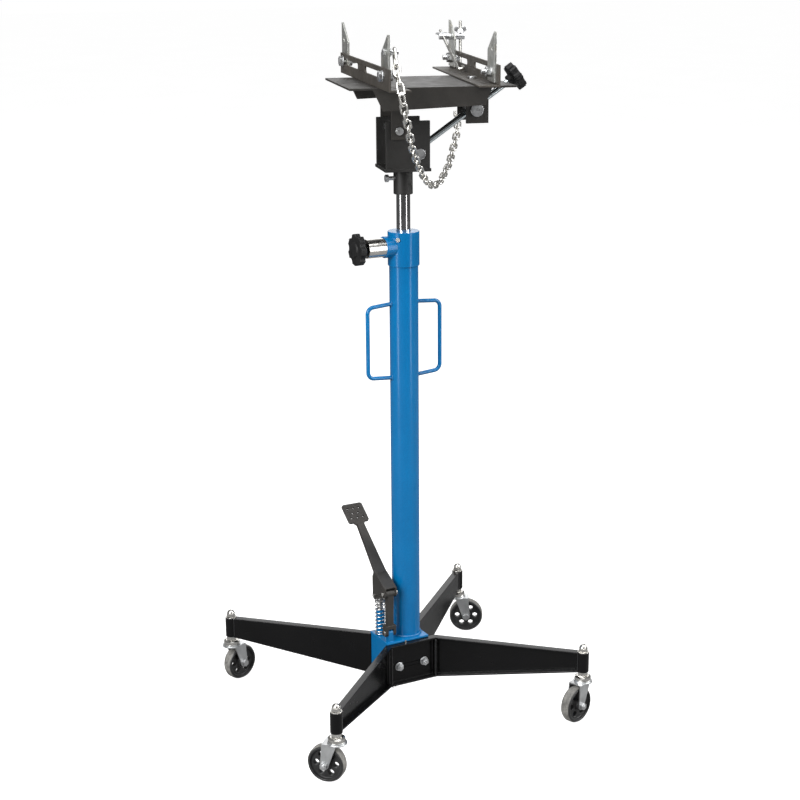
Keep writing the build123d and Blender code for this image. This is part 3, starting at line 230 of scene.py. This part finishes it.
def satin_black(name, deep, fair, wear_and_highlight_tone, rough, wear_and_highlight_amount):
    """Thin black coating on plate: brownish where handled, with scuffs and bright edges."""
    s = Shader(name)
    cloud = s.ramp(s.noise(14.0, 6.0, 0.65, warp=0.6), (0.3, deep), (0.72, fair))
    grain = s.ramp(s.noise(700.0, 3.0, 0.6), (0.3, 0.82), (0.7, 1.16))
    colour = s.mix(1.0, cloud, grain, "MULTIPLY")
    streak = s.noise(36.0, 5.0, 0.7, vector=s.stretched((1.0, 9.0, 9.0), turn=(0.0, 0.0, radians(15))))
    scuff = s.ramp(streak, (0.58, 0.0), (0.8, 0.6))
    colour = s.mix(s.math("MULTIPLY", scuff, 0.35 * wear_and_highlight_amount), colour, wear_and_highlight_tone)
    broken = s.ramp(s.noise(120.0, 5.0, 0.7), (0.32, 0.15), (0.62, 1.0))
    rim_wear_and_highlight = s.math("MULTIPLY", s.edges(0.0016, 0.05, 0.35), broken)
    colour = s.mix(s.math("MULTIPLY", rim_wear_and_highlight, wear_and_highlight_amount), colour, wear_and_highlight_tone)
    dull = s.ramp(s.noise(30.0, 5.0, 0.6), (0.3, rough - 0.07), (0.75, rough + 0.12))
    fine = s.bump(s.noise(1100.0, 3.0, 0.6), 0.00018, 0.35)
    wide = s.bump(s.noise(90.0, 3.0, 0.5), 0.0005, 0.15, under=fine)
    s.set(Base_Color=colour, Roughness=dull, Normal=wide, Specular_IOR_Level=0.45)
    return s.material


def plated(name, deep, fair, rough, spread, tint=None, scale=60.0, grain=0.1):
    """Plated steel: soft crystal patches, fine polishing lines and a passivation tint."""
    s = Shader(name)
    patch = s.ramp(s.cells(scale, feature="SMOOTH_F1"), (0.1, deep), (0.75, fair))
    cloud = s.ramp(s.noise(26.0, 5.0, 0.6, warp=0.5), (0.3, 0.88), (0.7, 1.06))
    colour = s.mix(1.0, patch, cloud, "MULTIPLY")
    if tint is not None:
        stain = s.ramp(s.noise(34.0, 4.0, 0.6, warp=1.2), (0.5, 0.0), (0.72, 0.55))
        colour = s.mix(stain, colour, tint)
    dull = s.ramp(s.noise(180.0, 4.0, 0.6), (0.3, rough), (0.75, rough + spread))
    fine = s.bump(s.noise(900.0, 3.0, 0.6), 0.00012, grain)
    wide = s.bump(s.noise(110.0, 3.0, 0.5), 0.0003, grain, under=fine)
    s.set(Base_Color=colour, Roughness=dull, Normal=wide, Metallic=1.0)
    return s.material


def ground_rod(name, axis, deep, fair, rough):
    """Ground and chromed bar: fine rings round the axis and a faint wiped film."""
    s = Shader(name)
    turn = Vector(axis).to_track_quat("Z", "Y").inverted().to_euler()
    along = s.stretched((1.0, 1.0, 1.0), turn=tuple(turn))
    lines = s.noise(40.0, 4.0, 0.7, vector=s.stretched((0.6, 0.6, 60.0), source=along))
    colour = s.ramp(lines, (0.3, deep), (0.7, fair))
    film = s.ramp(s.noise(40.0, 4.0, 0.6), (0.35, rough), (0.75, rough + 0.09))
    s.set(Base_Color=colour, Roughness=film, Normal=s.bump(lines, 0.00005, 0.25), Metallic=1.0)
    return s.material


def threaded(name, start, axis, low, high, pitch, deep, fair, rough):
    """Plated bar with a screw thread cut between two distances along its axis."""
    s = Shader(name)
    line = Vector(axis).normalized()
    side = line.orthogonal().normalized()
    up = line.cross(side)
    seat = s.vector("SUBTRACT", s.place, tuple(start))
    far = s.vector("DOT_PRODUCT", seat, tuple(line), "Value")
    x = s.vector("DOT_PRODUCT", seat, tuple(side), "Value")
    y = s.vector("DOT_PRODUCT", seat, tuple(up), "Value")
    lead = s.math("DIVIDE", s.math("ARCTAN2", y, x), 2 * pi)
    phase = s.math("SUBTRACT", s.math("DIVIDE", far, pitch), lead)
    tooth = s.math("ABSOLUTE", s.math("SUBTRACT", s.math("FRACT", phase), 0.5))
    cut = s.band(far, low, high, pitch)
    height = s.math("MULTIPLY", tooth, cut)
    # The thread's grooves are coloured darker: painted shade in the grooves.
    groove = s.math("MULTIPLY", s.math("SUBTRACT", 1.0, s.math("MULTIPLY", tooth, 2.0)), cut)
    cloud = s.ramp(s.noise(60.0, 4.0, 0.6), (0.3, deep), (0.7, fair))
    painted_groove_shade = tuple(0.3 * v for v in deep)
    colour = s.mix(s.math("MULTIPLY", groove, 0.75), cloud, painted_groove_shade)
    dull = s.ramp(s.noise(150.0, 3.0, 0.6), (0.3, rough), (0.75, rough + 0.12))
    s.set(Base_Color=colour, Roughness=dull, Normal=s.bump(height, pitch * 0.6), Metallic=1.0)
    return s.material


def moulded(name, deep, fair, rough, grain):
    """Moulded plastic: matt, finely grained, a little greyer where it is handled."""
    s = Shader(name)
    cloud = s.ramp(s.noise(35.0, 5.0, 0.6), (0.3, deep), (0.75, fair))
    rim_wear_and_highlight = s.math("MULTIPLY", s.edges(0.0015, 0.05, 0.5), s.noise(140.0, 3.0, 0.6))
    colour = s.mix(s.math("MULTIPLY", rim_wear_and_highlight, 0.5), cloud, tuple(3.0 * v for v in fair))
    dull = s.ramp(s.noise(60.0, 4.0, 0.6), (0.3, rough), (0.75, rough + 0.12))
    fine = s.bump(s.cells(1500.0), 0.00012, grain)
    s.set(Base_Color=colour, Roughness=dull, Normal=fine, Specular_IOR_Level=0.28)
    return s.material


def wheel_surface(name, centre, axle, edge):
    """Hard black wheel of radius edge, its running band scuffed grey between the shoulders."""
    s = Shader(name)
    line = Vector(axle).normalized()
    seat = s.vector("SUBTRACT", s.place, tuple(centre))
    across = s.vector("DOT_PRODUCT", seat, tuple(line), "Value")
    radius = s.vector("LENGTH", s.vector("CROSS_PRODUCT", seat, tuple(line)), output="Value")
    tread = s.band(radius, edge - 0.0016, edge + 0.01, 0.0006)
    run = s.math("MULTIPLY", tread, s.band(s.math("ABSOLUTE", across), -1.0, 0.0078, 0.0016))
    black = s.ramp(s.noise(45.0, 5.0, 0.6), (0.3, (0.012, 0.012, 0.012)), (0.75, (0.03, 0.03, 0.031)))
    dirt = s.noise(90.0, 6.0, 0.7, warp=0.7)
    grey = s.ramp(dirt, (0.3, (0.10, 0.098, 0.092)), (0.7, (0.27, 0.262, 0.245)))
    scuffed = s.math("MULTIPLY", run, s.ramp(dirt, (0.25, 0.7), (0.6, 1.0)))
    colour = s.mix(scuffed, black, grey)
    rough = s.mix(run, s.ramp(dirt, (0.3, 0.3), (0.7, 0.42)), (0.75, 0.75, 0.75))
    lines = s.bump(s.noise(500.0, 3.0, 0.6), 0.0002, 0.25)
    s.set(Base_Color=colour, Roughness=rough, Normal=lines, Specular_IOR_Level=0.45)
    return s.material


def weld_surface(name, deep, fair, rough):
    """Paint over a weld bead: the same coat with a coarser, lumpier skin."""
    s = Shader(name)
    cloud = s.ramp(s.noise(120.0, 4.0, 0.6), (0.3, deep), (0.7, fair))
    dull = s.ramp(s.noise(200.0, 3.0, 0.6), (0.3, rough), (0.75, rough + 0.15))
    s.set(Base_Color=cloud, Roughness=dull, Normal=s.bump(s.noise(700.0, 3.0, 0.6), 0.0004, 0.3))
    s.set(Coat_Weight=0.25, Coat_Roughness=0.12)
    return s.material


# The lighter blue given for the edges is a painted highlight.
BLUE = gloss_paint(
    "blue_enamel", (0.0, 0.108, 0.285), (0.0, 0.132, 0.335), 0.2, (0.02, 0.25, 0.55), 0.25)
# The lighter grey given for the edges is partly rubbed paint, partly a painted highlight.
BLACK = gloss_paint(
    "black_enamel", (0.0015, 0.0015, 0.0017), (0.0035, 0.0035, 0.0038), 0.22, (0.05, 0.047, 0.043), 0.3,
    shine=0.22, coat=0.08)
SATIN = satin_black(
    "bracket_satin", (0.005, 0.0048, 0.0046), (0.011, 0.0104, 0.0095), (0.06, 0.052, 0.043), 0.5, 0.45)
BROWN = satin_black(
    "rail_satin", (0.028, 0.0245, 0.021), (0.052, 0.045, 0.037), (0.17, 0.145, 0.115), 0.5, 0.75)
TABLE = satin_black(
    "table_satin", (0.012, 0.011, 0.0098), (0.024, 0.0215, 0.0185), (0.12, 0.105, 0.086), 0.46, 0.7)
PEDAL = satin_black(
    "pedal_satin", (0.014, 0.013, 0.012), (0.03, 0.027, 0.024), (0.1, 0.088, 0.075), 0.55, 0.6)
ZINC = plated("zinc_plate", (0.60, 0.61, 0.62), (0.80, 0.81, 0.82), 0.24, 0.16)
FORK = plated("fork_zinc", (0.56, 0.57, 0.575), (0.76, 0.77, 0.775), 0.3, 0.16, scale=40.0)
BLADE = plated(
    "blade_zinc", (0.52, 0.53, 0.5), (0.76, 0.77, 0.74), 0.3, 0.18, tint=(0.55, 0.49, 0.36), grain=0.16)
CHAIN = plated("chain_zinc", (0.62, 0.61, 0.58), (0.82, 0.81, 0.78), 0.18, 0.16, tint=(0.56, 0.53, 0.47))
NICKEL = plated("nickel_plate", (0.60, 0.585, 0.555), (0.80, 0.785, 0.75), 0.14, 0.12, scale=90.0)
STEEL = plated("bare_steel", (0.40, 0.40, 0.40), (0.55, 0.55, 0.55), 0.3, 0.18)
SPRING = plated("spring_wire", (0.55, 0.55, 0.54), (0.78, 0.78, 0.77), 0.16, 0.14, scale=150.0)
IRON = plated("bush_iron", (0.16, 0.16, 0.165), (0.26, 0.26, 0.265), 0.45, 0.18)
CHROME = ground_rod("ram_chrome", (0, 0, 1), (0.70, 0.71, 0.72), (0.86, 0.87, 0.88), 0.07)
RUBBER = moulded("seal_rubber", (0.012, 0.012, 0.012), (0.022, 0.022, 0.022), 0.6, 0.2)
KNOB = moulded("knob_plastic", (0.005, 0.005, 0.0053), (0.011, 0.011, 0.0115), 0.48, 0.3)
BLUE_WELD = weld_surface("blue_weld", (0.0, 0.098, 0.26), (0.0, 0.124, 0.315), 0.28)
BLACK_WELD = weld_surface("black_weld", (0.0045, 0.0045, 0.005), (0.01, 0.01, 0.0105), 0.32)

SIDES = ("left", "right")
ENDS = ("front", "rear")
CORNERS = ("fl", "fr", "rl", "rr")
BLADES = [f"blade_{s}_{e}" for s in SIDES for e in ENDS]
BLADE_BOLTS = [f"blade_bolt_{s}_{e}" for s in SIDES for e in ENDS]
FORKS = [f"caster_fork_{c}" for c in CORNERS]
WHEELS = [f"caster_wheel_{c}" for c in CORNERS]
RAILS = [f"rail_{s}" for s in SIDES]
RAIL_BOLTS = [f"rail_bolt_{s}" for s in SIDES]
HOOK_BLOCKS = ["hook_block_outer", "hook_block_inner"]

FINISHES = (
    (BLUE, ["base_block", "outer_column", "column_collar", "side_handles", "pump_barrel"]),
    (BLACK, ["front_leg_frame", "rear_leg_frame"]),
    (SATIN, ["head_bracket"]),
    (BROWN, RAILS),
    (TABLE, ["tilt_table"]),
    (PEDAL, ["foot_pedal", "fulcrum_link"]),
    (ZINC, ["frame_bolts", "clamp_bolt", "tilt_pivot_bolts", "screw_anchor", "screw_trunnion", "chain_bolt"]
        + BLADE_BOLTS + RAIL_BOLTS + HOOK_BLOCKS),
    (FORK, FORKS),
    (BLADE, BLADES),
    (CHAIN, ["safety_chain"]),
    (NICKEL, ["release_valve_body", "caster_nuts", "caster_stems", "plug_screws", "pedal_pins",
        "fulcrum_pin"]),
    (STEEL, ["pump_plunger", "pump_spring", "release_spindle", "ram_piston", "inner_cylinder"]),
    (IRON, ["ram_guide_bush"]),
    (CHROME, ["ram_rod"]),
    (RUBBER, ["wiper_seal"]),
    (KNOB, ["release_knob", "tilt_knob"]),
)


def dress(node, material):
    mesh = NODES[node].data
    mesh.materials.clear()
    mesh.materials.append(material)


for material, names in FINISHES:
    for name in names:
        dress(name, material)


# ------------------------------------------------------------------ finishes that follow an axis
def joint_of(body):
    return next(j for j in JOINTS.values() if j["child"] == body)


def along(node, axis):
    """Lowest and highest distance of a node along an axis through the origin."""
    line = Vector(axis).normalized()
    reach = [line.dot(v.co) for v in NODES[node].data.vertices]
    return min(reach), max(reach)


def rod_start(node, axis):
    """The point on a long rod's axis where it starts."""
    line = Vector(axis).normalized()
    low, high = along(node, axis)
    first = low + 0.02 * (high - low) + 0.0015
    close = [v.co for v in NODES[node].data.vertices if line.dot(v.co) < first]
    centre = sum(close, Vector()) / len(close)
    return centre - line * (line.dot(centre) - low)


THREAD_LENGTH = 0.085
THREAD_PITCH = 0.001
THREAD = ((0.50, 0.49, 0.46), (0.74, 0.73, 0.70), 0.24)
for corner in CORNERS:
    wheel = f"caster_wheel_{corner}"
    axle = joint_of(f"wheel_{corner}")["axis"]
    low, high = corners(wheel)
    dress(wheel, wheel_surface(f"wheel_plastic_{corner}", middle(wheel), axle, (high.z - low.z) / 2))
dress("tilt_screw", ground_rod(
    "tilt_screw_steel", joint_of("screw")["axis"], (0.56, 0.63, 0.66), (0.80, 0.86, 0.88), 0.1))
for node, body in (("hook_bolt_outer", "hook_outer"), ("hook_bolt_inner", "hook_inner")):
    down = tuple(-v for v in joint_of(body)["axis"])
    dress(node, threaded(f"{node}_thread", rod_start(node, down), down, 0.0, THREAD_LENGTH, THREAD_PITCH,
        *THREAD))


# ------------------------------------------------------------------ rounded edges on the CAD nodes
EDGE_WIDTHS = (    # width in metres, segments, nodes
    (0.0009, 2, ["front_leg_frame", "rear_leg_frame", "base_block", "head_bracket"]),
    (0.0006, 2, ["tilt_table", "foot_pedal", "fulcrum_link", "column_collar"] + RAILS),
    (0.0004, 2, ["screw_trunnion", "screw_anchor", "clamp_bolt", "tilt_pivot_bolts", "frame_bolts"]
        + BLADES + BLADE_BOLTS + RAIL_BOLTS + HOOK_BLOCKS + FORKS),
    (0.0003, 2, ["caster_nuts", "chain_bolt", "pedal_pins", "fulcrum_pin", "release_valve_body"]),
    (0.0011, 3, WHEELS),
    (0.0022, 4, ["release_knob", "tilt_knob"]),
)


def round_edges(node, width, segments):
    """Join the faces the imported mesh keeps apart, round the edges and shade them by face size."""
    piece = NODES[node]
    weld = piece.modifiers.new("join", "WELD")
    weld.merge_threshold = 1e-5
    bevel = piece.modifiers.new("round", "BEVEL")
    bevel.width = width
    bevel.segments = segments
    bevel.limit_method = "ANGLE"
    bevel.angle_limit = radians(38)
    bevel.use_clamp_overlap = False
    bevel.miter_outer = "MITER_ARC"
    shade = piece.modifiers.new("shade", "WEIGHTED_NORMAL")
    shade.keep_sharp = False


for width, segments, names in EDGE_WIDTHS:
    for name in names:
        round_edges(name, width, segments)


# ------------------------------------------------------------------ mesh pieces
def sweep(name, points, radius, sides, closed, material, body):
    """A tube along points whose radius may change from ring to ring."""
    count = len(points)
    verts = []
    faces = []
    up = Vector((0, 0, 1))
    normal = None
    for i, point in enumerate(points):
        before = points[i - 1] if i or closed else point
        after = points[(i + 1) % count] if i < count - 1 or closed else point
        tangent = (after - before).normalized()
        if normal is None:
            normal = tangent.orthogonal() if abs(tangent.dot(up)) > 0.95 else tangent.cross(up)
        normal = (normal - tangent * normal.dot(tangent)).normalized()
        other = tangent.cross(normal)
        r = radius(i)
        for k in range(sides):
            a = 2 * pi * k / sides
            verts.append(point + r * (cos(a) * normal + sin(a) * other))
    rings = count if closed else count - 1
    for i in range(rings):
        for k in range(sides):
            a, b = i * sides, ((i + 1) % count) * sides
            faces.append((a + k, a + (k + 1) % sides, b + (k + 1) % sides, b + k))
    if not closed:
        faces.append(tuple(reversed(range(sides))))
        faces.append(tuple(range((count - 1) * sides, count * sides)))
    mesh = bpy.data.meshes.new(name)
    mesh.from_pydata([tuple(v) for v in verts], [], faces)
    mesh.polygons.foreach_set("use_smooth", [len(p.vertices) == 4 for p in mesh.polygons])
    mesh.materials.append(material)
    mesh.update()
    piece = bpy.data.objects.new(name, mesh)
    bpy.context.scene.collection.objects.link(piece)
    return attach(piece, body)


def ripple(size):
    """Radius of a hand-laid weld bead, ring by ring: even ripples with a slow drift."""
    return lambda i: size * (1.0 + 0.13 * sin(i * 1.9) + 0.10 * sin(i * 0.37 + 1.3) + 0.06 * sin(i * 0.11))


def ring_points(centre, radius, z, count):
    turns = [2 * pi * i / count for i in range(count)]
    return [Vector((centre.x + radius * cos(a), centre.y + radius * sin(a), z)) for a in turns]


def line_points(start, end, step):
    count = max(4, round((end - start).length / step))
    return [start.lerp(end, i / count) for i in range(count + 1)]


BEAD_STEP = 0.0009
BEAD_SIDES = 8
HANDLE_ROD_R = 0.004
FLANGE_T = 0.004
BEND_X = 0.054          # bend of a leg frame from the frame's middle
BEND_Y = 0.0415
SOCKET_R = 0.012
SOCKET_H = 0.0385
LEG_HALF = 0.0075       # half the width of a leg where it meets its socket
SLEEVE_R = 0.0187
SLEEVE_H = 0.0475

# Foot of the column on the base block.
column_low, column_high = corners("outer_column")
column_mid = (column_low + column_high) / 2
column_r = (column_high.x - column_low.x) / 2
sweep("column_foot_weld", ring_points(column_mid, column_r + 0.0006, column_low.z + 0.0008, 210),
      ripple(0.0024), BEAD_SIDES, True, BLUE_WELD, "base")


def handle_feet():
    """Side, upper or lower, and height of the four places where a handle's rod meets the column."""
    found = []
    for sign in (-1, 1):
        near = [v.co for v in NODES["side_handles"].data.vertices if 0 < sign * v.co.x < column_r + 0.006]
        for upper in (True, False):
            group = [c.z for c in near if (c.z > middle("side_handles").z) == upper]
            found.append((sign, upper, sum(group) / len(group)))
    return found


def saddle_points(sign, z, count=60):
    """A loop round a rod that meets the column's curved side."""
    points = []
    for i in range(count):
        turn = 2 * pi * i / count
        reach = HANDLE_ROD_R + 0.0008
        x = column_mid.x + sign * (column_r + 0.0004 - 0.0011 * sin(turn) ** 2)
        points.append(Vector((x, column_mid.y + reach * cos(turn), z + reach * sin(turn))))
    return points


for sign, upper, z in handle_feet():
    label = ("right" if sign > 0 else "left") + ("_upper" if upper else "_lower")
    sweep(f"handle_weld_{label}", saddle_points(sign, z), ripple(0.0013), BEAD_SIDES, True,
          BLUE_WELD, "base")

# Vertical seams at the bends of both leg frames, down the open side of the channel.
frame_low, frame_high = corners("front_leg_frame")
frame_x = (frame_low.x + frame_high.x) / 2


def bend_edges(node):
    """The web's vertical edges at the two bends, as (x, y) on both faces of the web."""
    found = set()
    for v in NODES[node].data.vertices:
        web = frame_low.z + 0.002 < v.co.z < frame_low.z + 0.01
        if web and 0.045 < abs(v.co.x - frame_x) < 0.075 and abs(v.co.y) < 0.06:
            found.add((round(v.co.x, 4), round(v.co.y, 4)))
    return sorted(found)


for node in ("front_leg_frame", "rear_leg_frame"):
    for number, (x, y) in enumerate(bend_edges(node), 1):
        start = Vector((x, y, frame_low.z + FLANGE_T + 0.0005))
        end = Vector((x, y, frame_high.z - FLANGE_T - 0.0005))
        sweep(f"{node}_seam_{number}", line_points(start, end, BEAD_STEP), ripple(0.0019), BEAD_SIDES, False,
              BLACK_WELD, "base")

# Beads where each tapered leg meets its caster socket.
for corner in CORNERS:
    pivot = Vector(JOINTS[f"caster_swivel_{corner}"]["pos_m"])
    bend_x = frame_x + (BEND_X if pivot.x > frame_x else -BEND_X)
    bend_y = BEND_Y if pivot.y > 0 else -BEND_Y
    inward = Vector((bend_x - pivot.x, bend_y - pivot.y, 0.0)).normalized()
    across = Vector((-inward.y, inward.x, 0.0))
    foot = Vector((pivot.x, pivot.y, 0.0)) + inward * (SOCKET_R ** 2 - LEG_HALF ** 2) ** 0.5
    for label, sign in (("a", 1), ("b", -1)):
        edge = foot + across * sign * LEG_HALF
        start = Vector((edge.x, edge.y, frame_high.z - SOCKET_H))
        end = Vector((edge.x, edge.y, frame_high.z - 0.001))
        sweep(f"socket_weld_{corner}_{label}", line_points(start, end, BEAD_STEP), ripple(0.0014), BEAD_SIDES,
              False, BLACK_WELD, "base")

# Bead round the sleeve under the bracket's floor.
bracket_low, bracket_high = corners("head_bracket")
sweep("sleeve_weld",
      ring_points(middle("ram_rod"), SLEEVE_R + 0.0006, bracket_low.z + SLEEVE_H - 0.0006, 150),
      ripple(0.0018), BEAD_SIDES, True, BLACK_WELD, "saddle")


# ------------------------------------------------------------------ pump spring
WIRE_R = 0.00115
COILS = 10.5
END_COILS = 1.1         # coils lying on each other at each end
COIL_STEPS = 24


def pump_spring():
    """A wire helix with closed ends, swept through the CAD spring's box; the CAD spring is hidden."""
    low, high = corners("pump_spring")
    mid = (low + high) / 2
    coil = (high.x - low.x) / 2 - WIRE_R
    count = round(COILS * COIL_STEPS)
    closed = 2.05 * WIRE_R
    spread = (high.z - low.z - 2 * WIRE_R - 2 * END_COILS * closed) / (COILS - 2 * END_COILS)
    points = []
    for i in range(count + 1):
        t = COILS * i / count
        packed = min(t, END_COILS) + max(0.0, t - (COILS - END_COILS))
        z = low.z + WIRE_R + closed * packed + spread * (t - packed)
        a = 2 * pi * t
        points.append(Vector((mid.x + coil * cos(a), mid.y + coil * sin(a), z)))
    piece = sweep("pump_return_spring", points, lambda i: WIRE_R, 10, False, SPRING, "base")
    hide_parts("pump_spring")
    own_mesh(piece)


pump_spring()


# ------------------------------------------------------------------ light, floor and camera
def area_light(name, place, target, size, power):
    data = bpy.data.lights.new(name, "AREA")
    data.shape = "RECTANGLE"
    data.size, data.size_y = size
    data.energy = power
    lamp = bpy.data.objects.new(name, data)
    lamp.location = place
    lamp.rotation_euler = (Vector(target) - Vector(place)).to_track_quat("-Z", "Y").to_euler()
    bpy.context.scene.collection.objects.link(lamp)


FLOOR_HALF = 30.0
FLOOR_LIFT = 0.9        # keeps the far floor as white as the near floor
ROOM_LIGHT = 0.22       # what the white room gives back to the object


def studio_floor():
    """A plain pale sheet under the casters."""
    s = Shader("floor_white")
    tone = s.ramp(s.noise(1.5, 2.0), (0.3, 0.40), (0.7, 0.44))
    seen = s.add("ShaderNodeLightPath").outputs["Is Camera Ray"]
    s.set(Base_Color=s.mix(seen, (0.22, 0.22, 0.22), tone), Roughness=0.95, Specular_IOR_Level=0.0)
    s.set(Emission_Color=(1.0, 1.0, 1.0), Emission_Strength=s.math("MULTIPLY", seen, FLOOR_LIFT))
    mesh = bpy.data.meshes.new("studio_floor")
    spots = [(x * FLOOR_HALF, y * FLOOR_HALF, CAD_BOX[0][2]) for x, y in ((-1, -1), (1, -1), (1, 1), (-1, 1))]
    mesh.from_pydata(spots, [], [(0, 1, 2, 3)])
    mesh.materials.append(s.material)
    floor = bpy.data.objects.new("studio_floor", mesh)
    bpy.context.scene.collection.objects.link(floor)


def studio_world():
    """A white backdrop to look at, and a much dimmer room around the object."""
    world = bpy.data.worlds.new("studio")
    world.use_nodes = True
    back = world.node_tree.nodes["Background"]
    back.inputs["Color"].default_value = (1.0, 1.0, 1.0, 1.0)
    path = world.node_tree.nodes.new("ShaderNodeLightPath")
    level = world.node_tree.nodes.new("ShaderNodeMapRange")
    level.inputs["To Min"].default_value = ROOM_LIGHT
    world.node_tree.links.new(path.outputs["Is Camera Ray"], level.inputs["Value"])
    world.node_tree.links.new(level.outputs["Result"], back.inputs["Strength"])
    bpy.context.scene.world = world


def camera():
    data = bpy.data.cameras.new("camera")
    data.lens = 75.6
    data.sensor_width = 36.0
    data.shift_x = -0.0573
    data.shift_y = -0.0055
    data.clip_end = 100.0
    lens = bpy.data.objects.new("camera", data)
    lens.location = (-1.503, -2.852, 1.547)
    lens.rotation_euler = (radians(90 - 15.47), 0.0, radians(-29.25))
    bpy.context.scene.collection.objects.link(lens)
    bpy.context.scene.camera = lens


studio_floor()
studio_world()
camera()
HEART = (0.0, 0.0, 0.7)
area_light("key", (-3.2, -1.6, 2.6), HEART, (1.8, 2.2), 185.0)
area_light("strip_left", (-2.54, -0.62, 0.95), (0.0, 0.0, 0.95), (0.4, 1.9), 16.0)
area_light("strip_right", (1.20, -2.35, 0.95), (0.0, 0.0, 0.95), (0.3, 1.9), 11.0)
area_light("fill", (3.0, -1.8, 2.2), HEART, (1.4, 2.4), 120.0)
area_light("top", (0.0, -0.8, 3.6), HEART, (2.6, 2.6), 95.0)
area_light("back", (1.5, 3.0, 2.0), HEART, (2.4, 2.4), 25.0)
bpy.context.scene.view_settings.view_transform = "Standard"

bpy.context.view_layer.update()
